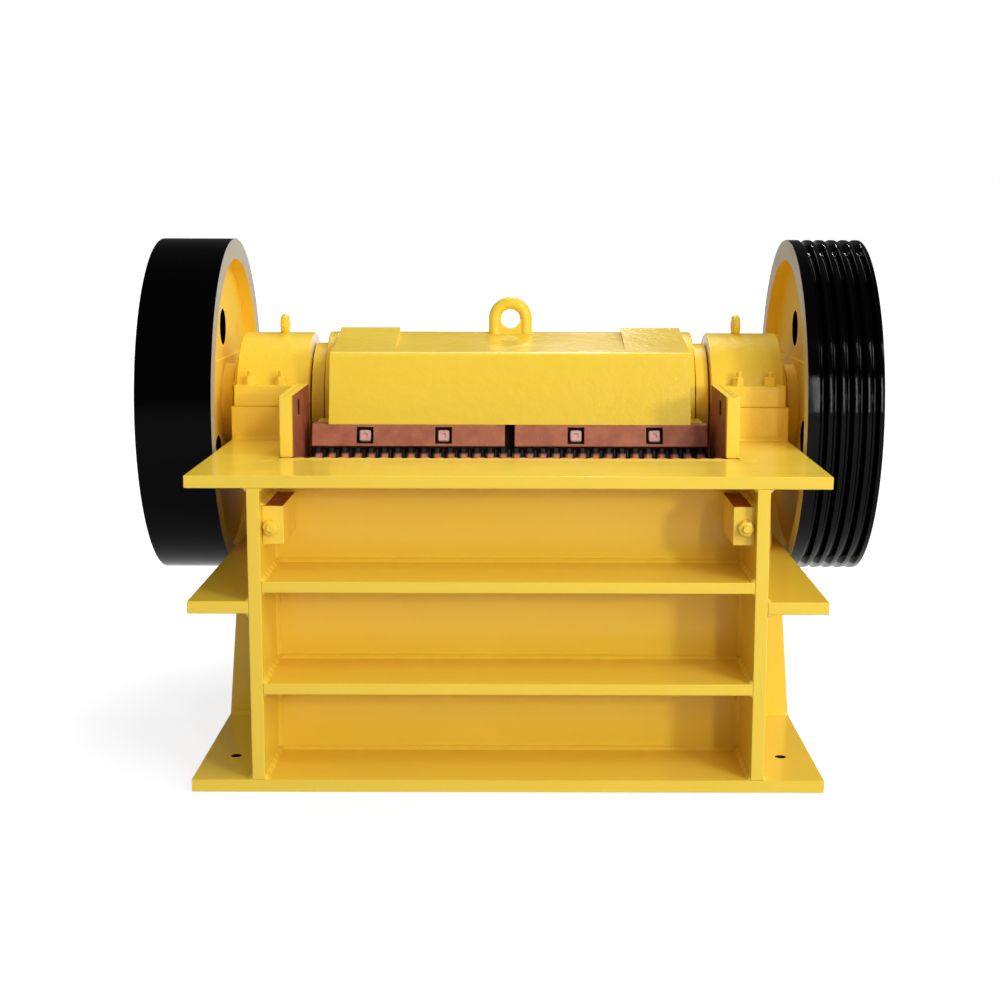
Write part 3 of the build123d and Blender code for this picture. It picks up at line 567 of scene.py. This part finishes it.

# %% [markdown]
# ## One piece in several finishes
# Each wheel is one casting, turned on its rim and on the rim's two side faces. The rim was sprayed
# black, the walls of the holes are black too, the web and the inside yellow, and the side faces
# were left bare. Elsewhere the spray gun went over its neighbours, so the tops of the fixed plate
# and of the cheek plates are yellow. The tops of the clamp blocks are dark red-brown, and the inner
# ends of the bearing caps turn pale near their top. The pockets, the foundation holes, the cheek
# bolts and the seat of the wedge bars are painted dark as shade. The finish of a face follows from
# its place and the way it looks.

# %% Painted copies
RIM_INNER_R = 0.448
HOLE_REACH = (0.180, 0.300)  # the lightening holes lie between these radii
EDGE = 0.0015
CHEEK_POCKET = (0.138, 0.045)  # behind the front edge and below the top of its plate
POCKET_HALF = 0.030
WEDGE_PLACES = (0.193, 0.422)  # x of the pockets in each wedge bar
HOLES_PAST_X = 0.70  # the foundation holes lie further out than this


def face_table(mesh):
    """Centres and normals of the faces."""
    centres, normals = np.zeros((2, len(mesh.polygons) * 3))
    mesh.polygons.foreach_get("center", centres)
    mesh.polygons.foreach_get("normal", normals)
    return centres.reshape(-1, 3), normals.reshape(-1, 3)


def face_reach(mesh):
    """How near and how far each face comes to the shaft's line."""
    starts = np.zeros(len(mesh.polygons), int)
    corners = np.zeros(len(mesh.loops), int)
    mesh.polygons.foreach_get("loop_start", starts)
    mesh.loops.foreach_get("vertex_index", corners)
    reach = np.hypot(*(mesh_points(mesh) - np.array(SHAFT_LINE))[:, 1:].T)[corners]
    return np.minimum.reduceat(reach, starts), np.maximum.reduceat(reach, starts)


def paint(made, finish):
    """Gives every face its finish, by its place in the object's list of materials."""
    made.data.polygons.foreach_set("material_index", finish.astype(np.int32))
    print(made.name, "faces of each finish:", np.bincount(finish).tolist())


def add_paint(made, chosen, finish):
    """Gives the chosen faces one more finish."""
    made.data.materials.append(finish)
    old = np.zeros(len(chosen), np.int32)
    made.data.polygons.foreach_get("material_index", old)
    paint(made, np.where(chosen, len(made.data.materials) - 1, old))


def paint_wheel(node, black):
    """Rim and grooves black, the rim's side faces bare, hole walls black, the rest yellow."""
    made = rounded_copy(node, [WEB_YELLOW, black, MACHINED], 0.0015, 2)
    centres, normals = face_table(made.data)
    near, far = face_reach(made.data)
    along = np.abs(normals[:, 0])
    low, high = (v.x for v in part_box(node))
    at_side = np.minimum(np.abs(centres[:, 0] - low), np.abs(centres[:, 0] - high)) < 0.001
    rim = (near > RIM_INNER_R - EDGE) & (far > RIM_INNER_R + EDGE)
    hole = (along < 0.2) & (near > HOLE_REACH[0]) & (far < HOLE_REACH[1])
    finish = np.where(rim | hole, 1, 0)
    paint(made, np.where(rim & (along > 0.9) & at_side, 2, finish))
    return made


def paint_facing(made, direction, finish):
    """Faces that look in a direction get another finish."""
    normals = face_table(made.data)[1]
    add_paint(made, normals @ np.array(direction) > 0.9, finish)


def paint_sunk(made, out, middles):
    """Painted shade on the walls and floors of pockets: faces near a middle, below the front face.
    """
    centres, normals = face_table(made.data)
    out = np.array(out, float)
    depth = centres @ out
    below = depth < depth[np.abs(normals @ out) > 0.99].max() - 0.001
    inside = np.zeros(len(centres), bool)
    for middle in middles:
        flat = centres - middle
        flat -= (flat @ out)[:, None] * out
        inside |= np.abs(flat).max(axis=1) < POCKET_HALF
    # The sunk faces get the painted shade finish.
    add_paint(made, below & inside, PAINTED_SHADE)


def paint_hole_walls(made):
    """Painted shade on the walls of the foundation holes: upright faces away from the outer edges.
    """
    centres, normals = face_table(made.data)
    corner = np.array(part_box("base_flange")[1])
    places = np.abs(centres)
    to_edge = np.abs(places - corner)[:, :2].min(axis=1)
    upright = np.abs(normals[:, 2]) < 0.2
    # The hole walls get the painted shade finish.
    add_paint(made, upright & (to_edge > 0.02) & (places[:, 0] > HOLES_PAST_X), PAINTED_SHADE)


def cheek_pocket(sign):
    """The middle of the pocket in one cheek plate, on the face towards the jaw."""
    low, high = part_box("cheek_plate_right")
    return np.array((sign * low.x, low.y + CHEEK_POCKET[0], high.z - CHEEK_POCKET[1]))


def wedge_pockets():
    """For each wedge bar, the middles of its pockets on the bar's front face."""
    points = node_points("wedge_bar_right")
    depth = points @ FACE_OUT
    levels = points[depth > depth.max() - 1e-4] @ FACE_UP
    middle = FACE_UP * (levels.min() + levels.max()) / 2 + FACE_OUT * depth.max()
    return {
        f"wedge_bar_{side}": [middle + (sign * x, 0, 0) for x in WEDGE_PLACES]
        for sign, side in HANDS
    }


def paint_jaw(made):
    """The jaw's front face, behind its plate and wedge bars, is painted near black as shade."""
    centres, normals = face_table(made.data)
    seat = (normals @ FACE_OUT > 0.98) & (centres[:, 2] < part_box("wedge_bar_right")[1].z)
    # Painted shade on the jaw's seat behind the bars.
    add_paint(made, seat, PAINTED_SHADE)


dressed["flywheel"] = paint_wheel("flywheel", DEAD_BLACK)
dressed["grooved_wheel"] = paint_wheel("grooved_wheel", BLACK)
paint_facing(dressed["fixed_jaw_plate"], UPWARDS, FIXED_TOP)
for sign, side in HANDS:
    paint_facing(dressed[f"cheek_plate_{side}"], UPWARDS, YELLOW)
    # Painted shade in the pocket of the cheek plate.
    paint_sunk(dressed[f"cheek_plate_{side}"], (-sign, 0, 0), [cheek_pocket(sign)])
    # The tops of the clamp blocks are dark red-brown.
    paint_facing(dressed[f"clamp_block_{side}"], UPWARDS, DEEP_PRIMER)
    paint_facing(dressed[f"bearing_cap_{side}"], (-sign, 0, 0), CAP_END)
paint_hole_walls(dressed["base_flange"])
paint_jaw(dressed["swing_jaw"])
# The pockets of the wedge bars get painted shade.
for name, middles in wedge_pockets().items():
    paint_sunk(dressed[name], FACE_OUT, middles)

# %% [markdown]
# ## Making surfaces from arrays
# New pieces are grids of points worked out at once with numpy. A shell is such a grid with its
# quads. Shells that belong together are joined into one mesh, their poles are merged, and their
# faces turned outwards, which is safe because every shell is closed.

# %% Surface helpers
def grid_faces(rows, columns):
    """Quads between neighbouring rows of a grid whose columns close into a loop."""
    row, column = np.meshgrid(np.arange(rows - 1), np.arange(columns), indexing="ij")
    first = row * columns + column
    second = row * columns + (column + 1) % columns
    return np.stack([first, second, second + columns, first + columns], -1).reshape(-1, 4).tolist()


def capped(rings):
    """A closed shell from a stack of rings, with a face over each end."""
    rows, columns = rings.shape[:2]
    faces = grid_faces(rows, columns)
    faces.append(list(range(columns)))
    faces.append(list(range((rows - 1) * columns, rows * columns)))
    return rings.reshape(-1, 3), faces


def unit(vectors):
    """Vectors at length one."""
    return vectors / np.linalg.norm(vectors, axis=-1, keepdims=True)


def spokes_at(angle, u, v):
    """A vector for each angle a in the plane of u and v: cos a u + sin a v."""
    return np.cos(angle)[:, None] * np.array(u) + np.sin(angle)[:, None] * np.array(v)


def piece_from(name, shells, material, node, smooth=40):
    """One mesh from many shells, turned outwards, on the body of a CAD node."""
    points, faces, count = [], [], 0
    for shell_points, shell_faces in shells:
        points.append(shell_points)
        faces += [[index + count for index in face] for face in shell_faces]
        count += len(shell_points)
    mesh = bpy.data.meshes.new(name)
    mesh.from_pydata(np.concatenate(points).tolist(), [], faces)
    work = bmesh.new()
    work.from_mesh(mesh)
    bmesh.ops.remove_doubles(work, verts=work.verts, dist=1e-6)
    bmesh.ops.recalc_face_normals(work, faces=work.faces)
    work.to_mesh(mesh)
    work.free()
    mesh.shade_smooth()
    mesh.set_sharp_from_angle(angle=math.radians(smooth))
    made = link(name, mesh, material, BODY_OF[node])
    mesh.calc_loop_triangles()
    print(f"{name}: {len(shells)} shells, {len(mesh.loop_triangles)} triangles")
    return made


# %% [markdown]
# ## Weld beads
# Every plate of the frame is joined to its neighbours by a fillet weld, which shows as a soft band
# with fine ripples in each inner corner, under the same paint. A bead is a small section carried
# along the corner: between the two faces it bulges a little, and its size ripples along the run.

# %% Weld bead surface
BEAD = 0.011
BEAD_STEP = 0.004
RIPPLES = ((0.03, 0.0115, 1), (0.05, 0.047, 2), (0.05, 0.171, 1))  # height, pitch, phases


def bead(path, out, up, size=BEAD):
    """A fillet along a path. out and up point along the two faces, away from the corner.

    At the angle t between them the skin lies size / (cos t + sin t) from the corner, raised by a
    fifth times sin 2t. The size follows three waves along the run and rounds off at both ends.
    """
    steps = np.linalg.norm(np.diff(path, axis=0), axis=1)
    run = np.concatenate([[0], np.cumsum(steps)])
    phase = float(np.abs(path[0]).sum() * 97 + path[-1] @ (13, 29, 41))
    wave = 1 + sum(a * np.sin(2 * np.pi * run / pitch + n * phase) for a, pitch, n in RIPPLES)
    ends = np.sqrt(np.clip(np.minimum(run, run[-1] - run) / size, 0.02, 1))
    t = np.linspace(0, np.pi / 2, 5)
    reach = (size * wave * ends)[:, None] * (1 + 0.2 * np.sin(2 * t)) / (np.cos(t) + np.sin(t))
    sides = np.cos(t)[:, None] * out[:, None] + np.sin(t)[:, None] * up[:, None]
    skin = path[:, None] + reach[..., None] * sides
    root = (path - 0.001 * (out + up))[:, None]
    return capped(np.concatenate([skin, root], axis=1))


def straight(start, end, out, up, size=BEAD):
    """A bead along a straight corner."""
    start, end = np.array(start, float), np.array(end, float)
    count = max(int(np.linalg.norm(end - start) / BEAD_STEP), 4)
    path = start + np.linspace(0, 1, count)[:, None] * (end - start)
    out, up = (np.tile(np.array(face, float), (count, 1)) for face in (out, up))
    return bead(path, out, up, size)


# %% [markdown]
# ## Where the welds run
# In front and at the rear, two ribs make three bays. Each bay has a bead round its panel and one
# in each of its four corners. The corners are read from the boxes of the plates.

# %% Welds in the bays
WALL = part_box("side_wall_right")
TOP_LOW, TOP_HIGH = (v.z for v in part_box("top_flange"))
BASE_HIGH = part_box("base_flange")[1].z
BLOCK_BEAD = 0.008


def levels_of(end):
    """The floor and the ceiling of the three bays at one end, from the plates' boxes."""
    lower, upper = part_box(f"{end}_rib_lower"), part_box(f"{end}_rib_upper")
    ceiling = min(TOP_LOW, WALL[1].z)
    return [(BASE_HIGH, lower[0].z), (lower[1].z, upper[0].z), (upper[1].z, ceiling)]


def bay_beads(end):
    """The beads of the three bays at one end of the frame."""
    side = WALL[0].x
    sign, face = (-1, 0) if end == "front" else (1, 1)
    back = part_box(f"{end}_wall")[face].y
    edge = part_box(f"{end}_rib_lower")[face].y
    shells = []
    for low, high in levels_of(end):
        for x, inwards in ((-side, (1, 0, 0)), (side, (-1, 0, 0))):
            shells.append(straight((x, back, low), (x, back, high), inwards, (0, sign, 0)))
            shells.append(straight((x, back, low), (x, edge, low), inwards, (0, 0, 1)))
            shells.append(straight((x, back, high), (x, edge, high), inwards, (0, 0, -1)))
        for z, up in ((low, 1), (high, -1)):
            shells.append(straight((-side, back, z), (side, back, z), (0, sign, 0), (0, 0, up)))
    return shells


def block_beads():
    """The beads that hold the two clamp blocks to the side walls."""
    shells = []
    for sign, side in HANDS:
        low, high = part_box(f"clamp_block_{side}")
        wall = high.x if sign > 0 else low.x
        for z, up in ((low.z, -1), (high.z, 1)):
            start, end = (wall, low.y, z), (wall, high.y, z)
            shells.append(straight(start, end, (-sign, 0, 0), (0, 0, up), BLOCK_BEAD))
    return shells


piece_from("front_welds", bay_beads("front") + block_beads(), YELLOW, "front_wall")
piece_from("rear_welds", bay_beads("rear"), YELLOW, "rear_wall")

# %% [markdown]
# Outside the side walls, beads run along the flanges and round the gussets. Others hold the feet
# of the bearing pedestals on the top flange, and follow the round underside of each pedestal
# where it hangs in the wall. On top, filler hides the seam between the flange and each wall.

# %% Welds outside the walls
HOUSING_R = 0.2222
ARC_POINTS = 130
GUSSET_BEAD = 0.009
PEDESTAL_BEAD = 0.012
FILLER_WIDTH = 0.022
FILLER_HEIGHT = 0.0009


def flange_beads(sign, wall, front, rear):
    """Beads along the outside of one wall, over and under the flanges."""
    out = (sign, 0, 0)
    mid_low, mid_high = (v.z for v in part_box("mid_flange_left"))
    shells = []
    for z, up in ((BASE_HIGH, 1), (mid_low, -1), (mid_high, 1)):
        shells.append(straight((wall, front, z), (wall, rear, z), out, (0, 0, up)))
    reach = math.sqrt(HOUSING_R**2 - (SHAFT_LINE[2] - TOP_LOW) ** 2)
    for start, end in ((front, SHAFT_LINE[1] - reach), (SHAFT_LINE[1] + reach, rear)):
        shells.append(straight((wall, start, TOP_LOW), (wall, end, TOP_LOW), out, (0, 0, -1)))
    limit = math.asin((SHAFT_LINE[2] - TOP_LOW) / HOUSING_R)
    turn = np.linspace(-math.pi + limit, -limit, ARC_POINTS)
    spokes = spokes_at(turn, REARWARDS, UPWARDS)
    arc = np.array((wall, *SHAFT_LINE[1:])) + HOUSING_R * spokes
    shells.append(bead(arc, spokes, np.tile(np.array(out, float), (ARC_POINTS, 1))))
    return shells


def gusset_beads(sign, wall):
    """Beads round the four gussets of one side: along the wall, the floor and the ceiling."""
    points = node_points("gussets_right" if sign > 0 else "gussets_left")
    shells = []
    places = np.unique(np.round(points[:, 1], 4))
    for y in places:
        own = points[np.abs(points[:, 1] - y) < 1e-4]
        low, high = own[:, 2].min(), own[:, 2].max()
        other_face = places[np.argsort(np.abs(places - y))[1]]
        side = (0, 1 if y > other_face else -1, 0)
        shells.append(straight((wall, y, low), (wall, y, high), (sign, 0, 0), side, GUSSET_BEAD))
        for z, up in ((low, 1), (high, -1)):
            tip = sign * np.abs(own[np.abs(own[:, 2] - z) < 1e-4, 0]).max()
            shells.append(straight((wall, y, z), (tip, y, z), side, (0, 0, up), GUSSET_BEAD))
    return shells


def pedestal_beads(sign):
    """Beads in front of and behind the foot of one pedestal."""
    low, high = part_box("bearing_pedestal_right")
    shells = []
    for y, side in ((low.y, -1), (high.y, 1)):
        start, end = (sign * WALL[0].x, y, TOP_HIGH), (sign * high.x, y, TOP_HIGH)
        shells.append(straight(start, end, (0, side, 0), (0, 0, 1), PEDESTAL_BEAD))
    return shells


def wall_top(sign):
    """Filler ground flush over the wall's upper edge: height (1 - (s / width)^2), s across it."""
    front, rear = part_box("front_wall")[1].y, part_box("rear_wall")[0].y
    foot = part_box("bearing_pedestal_right")
    s = np.linspace(-FILLER_WIDTH, FILLER_WIDTH, 15)
    middle = sign * (WALL[0].x + WALL[1].x) / 2
    x = np.append(middle + s, middle)
    z = np.append(TOP_HIGH + FILLER_HEIGHT * (1 - (s / FILLER_WIDTH) ** 2), TOP_HIGH - 0.002)
    skin = np.column_stack([x, np.zeros(16), z])
    shells = []
    for start, end in ((front - 0.02, foot[0].y), (foot[1].y, rear + 0.02)):
        if end - start > 0.01:
            path = np.column_stack([np.zeros(20), np.linspace(start, end, 20), np.zeros(20)])
            shells.append(capped(path[:, None] + skin))
    return shells


outside = []
for sign in (-1, 1):
    outside += flange_beads(sign, sign * WALL[1].x, WALL[0].y, WALL[1].y)
    outside += gusset_beads(sign, sign * WALL[1].x)
    outside += pedestal_beads(sign) + wall_top(sign)
piece_from("outer_welds", outside, YELLOW, "side_wall_left")

# %% [markdown]
# ## Bolts, studs and eyes
# A hexagon head is a surface about an axis whose radius depends on the angle, half the width
# across flats divided by the cosine of the angle from the middle of a flat. A cone cuts its
# corners. The same spun surface with a plain radius gives washers, stud ends and collars.

# %% Fastener surfaces
SIDES = 36
AROUND = np.linspace(0, 2 * np.pi, SIDES, endpoint=False)


def spun(rows, foot, axis, sides=SIDES, turn=0.0):
    """Rings of radius r at height h about an axis: foot + r (cos a u + sin a v) + h axis."""
    axis = unit(np.array(axis, float))
    helper = np.array((0, 0, 1.0)) if abs(axis[2]) < 0.9 else np.array((1.0, 0, 0))
    u = unit(np.cross(helper, axis))
    angle = np.linspace(0, 2 * np.pi, sides, endpoint=False) + turn
    spokes = spokes_at(angle, u, np.cross(axis, u))
    radius = np.stack([np.broadcast_to(r, sides) for r, h in rows])
    height = np.stack([np.broadcast_to(h, sides) for r, h in rows])
    rings = np.array(foot, float) + radius[..., None] * spokes + height[..., None] * axis
    return rings.reshape(-1, 3), grid_faces(len(rows), sides)


def hexagon(foot, axis, across, thick, turn=0.0):
    """A hexagon head or nut whose corners a cone has cut, flat on its foot."""
    half = across / 2
    edge = half / np.cos((AROUND + np.pi / 6) % (np.pi / 3) - np.pi / 6)
    crown = 0.93 * half
    drop = (edge - crown) * math.tan(math.radians(30))
    rows = [(0, 0), (edge, 0), (edge, thick - drop), (crown, thick), (0, thick)]
    return spun(rows, foot, axis, turn=turn)


def washer(foot, axis, radius, thick):
    """A washer with a small chamfer."""
    rows = [(0, 0), (radius, 0), (radius, thick * 2 / 3), (radius - thick / 3, thick), (0, thick)]
    return spun(rows, foot, axis)


def stud(foot, axis, radius, length, pitch=0.0025):
    """The threaded end of a stud: rings that swing between crest and root, then a chamfer."""
    count = max(int(length / pitch), 2)
    levels = np.linspace(0, length - pitch, 2 * count)
    rows = [(0, 0)]
    rows += [(radius - 0.0009 * (i % 2), level) for i, level in enumerate(levels)]
    rows += [(radius - pitch * 0.8, length), (0, length)]
    return spun(rows, foot, axis, sides=24)


def nut_and_stud(foot, axis, across, thick, proud, turn=0.0):
    """A washer, a nut and the end of its stud, standing on a face."""
    foot, axis = np.array(foot, float), np.array(axis, float)
    flat = 0.004
    return [
        washer(foot - axis * 0.001, axis, across * 0.62, flat + 0.001),
        hexagon(foot + axis * flat, axis, across, thick, turn),
        stud(foot + axis * flat, axis, across * 0.3, thick + proud),
    ]


def tube(path, side, radius, sides=20):
    """A round bar: rings of centre + radius (cos b side + sin b (tangent x side)) along a path."""
    tangent = unit(np.gradient(path, axis=0))
    side = unit(side - (side * tangent).sum(1, keepdims=True) * tangent)
    other = np.cross(tangent, side)
    angle = np.linspace(0, 2 * np.pi, sides, endpoint=False)
    ring = np.cos(angle)[:, None] * side[:, None] + np.sin(angle)[:, None] * other[:, None]
    return capped(path[:, None] + radius * ring)


def torus(centre, u, v, large, small):
    """A ring in the plane of u and v: centre + (large + small cos b) spoke + small sin b normal."""
    turn = np.linspace(0, 2 * np.pi, 41)
    angle = np.linspace(0, 2 * np.pi, 16, endpoint=False)
    out = (large + small * np.cos(angle))[:, None] * spokes_at(turn, u, v)[:, None]
    rings = np.array(centre, float) + out + small * np.sin(angle)[:, None] * np.cross(u, v)
    return rings.reshape(-1, 3), grid_faces(len(turn), len(angle))


# %% [markdown]
# Two studs stand in front of each bearing and two behind it, on the ledge of the cap's foot, and
# an eye bolt stands on its crown, edge on to the front. One bolt holds each clamp block, and six
# small bolts hold the cover behind each wheel.

# %% Fasteners on the frame
CAP_STUD_X = (0.686, 0.779)
CAP_STUD_Y = 0.233  # in front of and behind the shaft's line
CAP_FOOT = 0.063  # thickness of the cap's foot
STUD_NUT = (0.030, 0.022, 0.016)  # across flats, thickness, and how far the stud stands out
BLOCK_NUT = (0.036, 0.018, 0.010)
COVER_HEAD = (0.015, 0.0065)
COVER_BOLTS_R = 0.1375
EYE_BOLT_X = 0.700
EYE_TOP = 0.057  # above the crown of the cap
EYE_RING_R = 0.0205
EYE_BAR_R = 0.0132
EYE_COLLAR = [(0, 0), (0.0145, 0), (0.0145, 0.012), (0.0135, 0.020), (0, 0.020)]


def cap_fasteners(sign):
    """Four studs with nuts on the foot of one cap, and its eye bolt on the crown."""
    low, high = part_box("bearing_cap_right")
    shells = []
    for x in CAP_STUD_X:
        for y in (SHAFT_LINE[1] - CAP_STUD_Y, SHAFT_LINE[1] + CAP_STUD_Y):
            foot = (sign * x, y, low.z + CAP_FOOT)
            shells += nut_and_stud(foot, UPWARDS, *STUD_NUT, turn=0.3 * x)
    eye = np.array((sign * EYE_BOLT_X, SHAFT_LINE[1], high.z))
    centre = eye + (0, 0, EYE_TOP - EYE_RING_R - EYE_BAR_R)
    shells.append(torus(centre, REARWARDS, UPWARDS, EYE_RING_R, EYE_BAR_R))
    shells.append(spun(EYE_COLLAR, eye - (0, 0, 0.004), UPWARDS))
    return shells


def cover_bolts(sign):
    """Six small bolts on a ring of the bearing cover, clear of the wheel's hub."""
    face = sign * (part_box("bearing_cover_right")[1].x - 0.0005)
    shells = []
    for turn in np.radians(np.arange(30, 390, 60)):
        y = SHAFT_LINE[1] + COVER_BOLTS_R * math.cos(turn)
        z = SHAFT_LINE[2] + COVER_BOLTS_R * math.sin(turn)
        shells.append(hexagon((face, y, z), (sign, 0, 0), *COVER_HEAD))
    return shells


def block_bolts():
    """The bolt in the front of each clamp block."""
    shells = []
    for sign, side in HANDS:
        low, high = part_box(f"clamp_block_{side}")
        x = (low.x + high.x) / 2 + sign * 0.004
        foot = (x, low.y, (low.z + high.z) / 2 - 0.004)
        shells += nut_and_stud(foot, (0, -1, 0), *BLOCK_NUT, turn=0.4)
    return shells


frame_bolts = block_bolts()
for sign in (-1, 1):
    frame_bolts += cap_fasteners(sign) + cover_bolts(sign)
piece_from("frame_fasteners", frame_bolts, CAST_YELLOW, "bearing_cap_left", 35)

# %% [markdown]
# The wedge bars above the moving jaw plate are drawn up by square-headed bolts, one in the middle
# of each pocket, wiped clean so that they stand out pale. The cheek plates have a round-headed bolt
# in theirs. A square head is the spun surface again, with a rounded square as its radius.

# %% Bolts in the wear castings
HEAD_HALF = 0.0165
HEAD_FLOOR = 0.0165  # height of the dimple's floor, and of the rounded edge
HEAD_TOP = 0.0195
DIMPLE_R = 0.008
WEDGE_DEPTH = 0.0225  # from a bar's front face to the foot of its bolt's head
CHEEK_DEPTH = 0.0155
CHEEK_HEAD = [(0, 0), (0.012, 0), (0.012, 0.005), (0.009, 0.009), (0, 0.010)]


def rounded_square(half, power=7):
    """Radius of a square with soft corners at every angle: half / (|cos|^p + |sin|^p)^(1/p)."""
    across = np.abs(np.cos(AROUND)) ** power + np.abs(np.sin(AROUND)) ** power
    return half / across ** (1 / power)


def wedge_bolts():
    """Four square heads with a dimple, which end just under the bars' front face."""
    edge = rounded_square(HEAD_HALF)
    rows = [(0, 0), (edge, 0), (edge, HEAD_FLOOR), (edge - 0.003, HEAD_TOP)]
    rows += [(DIMPLE_R, HEAD_TOP), (DIMPLE_R - 0.002, HEAD_FLOOR), (0, HEAD_FLOOR)]
    return [
        spun(rows, middle - FACE_OUT * WEDGE_DEPTH, FACE_OUT, turn=0.05 * middle[0])
        for middles in wedge_pockets().values()
        for middle in middles
    ]


def cheek_bolts():
    """A low round head in the pocket of each cheek plate."""
    return [
        spun(CHEEK_HEAD, cheek_pocket(sign) + (sign * CHEEK_DEPTH, 0, 0), (-sign, 0, 0))
        for sign in (-1, 1)
    ]


piece_from("wedge_bolts", wedge_bolts(), PALE_PRIMER, "wedge_bar_right", 35)
# The cheek bolts are painted near black, as shade in their pockets.
piece_from("cheek_bolts", cheek_bolts(), PAINTED_SHADE, "cheek_plate_right", 35)

# %% [markdown]
# ## The lifting eye
# The eye on the jaw's head is a round bar bent into a hoop. The solid has it with eight flats, so
# a round bar is laid over it: up one leg, over half a circle, and down the other.

# %% Lifting hoop
HOOP_R = 0.048
HOOP_BAR_R = 0.0188
HOOP_Y = 0.232
HOOP_Z = 1.192
THROW = 0.010
HEAD_R = 0.215  # radius of the jaw's head about the thrown axis
LEG_SUNK = 0.012


def hoop():
    """Legs at x = plus and minus the hoop's radius, joined by (-R cos a, R sin a) above them."""
    foot = SHAFT_LINE[2] + THROW + HEAD_R - LEG_SUNK
    middle = np.array((0, HOOP_Y, HOOP_Z))
    bow = middle + HOOP_R * spokes_at(np.linspace(0, np.pi, 49), (-1, 0, 0), UPWARDS)
    left = np.array([[-HOOP_R, HOOP_Y, z] for z in np.linspace(foot, HOOP_Z, 6)[:-1]])
    right = left[::-1] * (-1, 1, 1)
    path = np.concatenate([left, bow, right])
    return tube(path, np.tile(REARWARDS, (len(path), 1)), HOOP_BAR_R, 32)


piece_from("lifting_hoop", [hoop()], CAST_YELLOW, "swing_jaw", 60)

# %% [markdown]
# ## Springs and threads at the rear
# Each tension rod ends in a coil spring behind the rear wall, with a nut on a threaded tail. The
# coil is a round bar along a helix whose first and last turns lie flat. The thread is one surface:
# the radius follows a wave that climbs one pitch with every turn.

# %% Springs and threads
ROD_X = 0.330
ROD_Z = 0.110
WIRE_R = 0.0085
SPRING_R = 0.0435
COILS = 6.2
COIL_POINTS = 360
FLAT_TURN = 0.75  # share of a turn that lies flat at either end
THREAD_R = 0.0201
THREAD_PITCH = 0.0035
THREAD_DEPTH = 0.0008
WASHER_THICK = 0.012
NUT_THICK = 0.030


def coil(x, start, end):
    """A helix about y that rises evenly, apart from flat ends: R (cos a, sin a) across y(a)."""
    turns = np.linspace(0, COILS, COIL_POINTS)
    angle = 2 * np.pi * turns
    rise = np.clip((turns - FLAT_TURN) / (COILS - 2 * FLAT_TURN), 0, 1)
    y = start + WIRE_R + rise * (end - start - 2 * WIRE_R)
    spokes = spokes_at(angle, (1, 0, 0), UPWARDS)
    path = (x, 0, ROD_Z) + y[:, None] * REARWARDS + spokes * (SPRING_R - WIRE_R)
    return tube(path, spokes, WIRE_R, 12)


def thread(x, start, end):
    """A rod's thread: radius + depth cos(2 pi y / pitch - angle), closed at both ends."""
    rows = int((end - start) / THREAD_PITCH * 5)
    y = np.linspace(start, end, rows)
    angle = np.linspace(0, 2 * np.pi, 40, endpoint=False)
    wave = np.cos(2 * np.pi * y[:, None] / THREAD_PITCH - angle)
    reach = THREAD_R + THREAD_DEPTH * wave
    along = np.broadcast_to(y[:, None], reach.shape)
    rings = [x + reach * np.cos(angle), along, ROD_Z + reach * np.sin(angle)]
    return capped(np.stack(rings, axis=-1))


spring_low, spring_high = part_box("tension_springs")
rod_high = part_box("tension_rods")[1]
coils = [coil(sign * ROD_X, spring_low.y, spring_high.y) for sign in (-1, 1)]
springs = piece_from("coil_springs", coils, SPRING, "tension_springs", 60)
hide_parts("tension_springs")
nut_end = spring_high.y + WASHER_THICK + NUT_THICK
threads = [thread(sign * ROD_X, nut_end - 0.002, rod_high.y - 0.0015) for sign in (-1, 1)]
threads += [thread(sign * ROD_X, spring_low.y, spring_high.y) for sign in (-1, 1)]
piece_from("rod_threads", threads, STEEL, "tension_rods", 60)
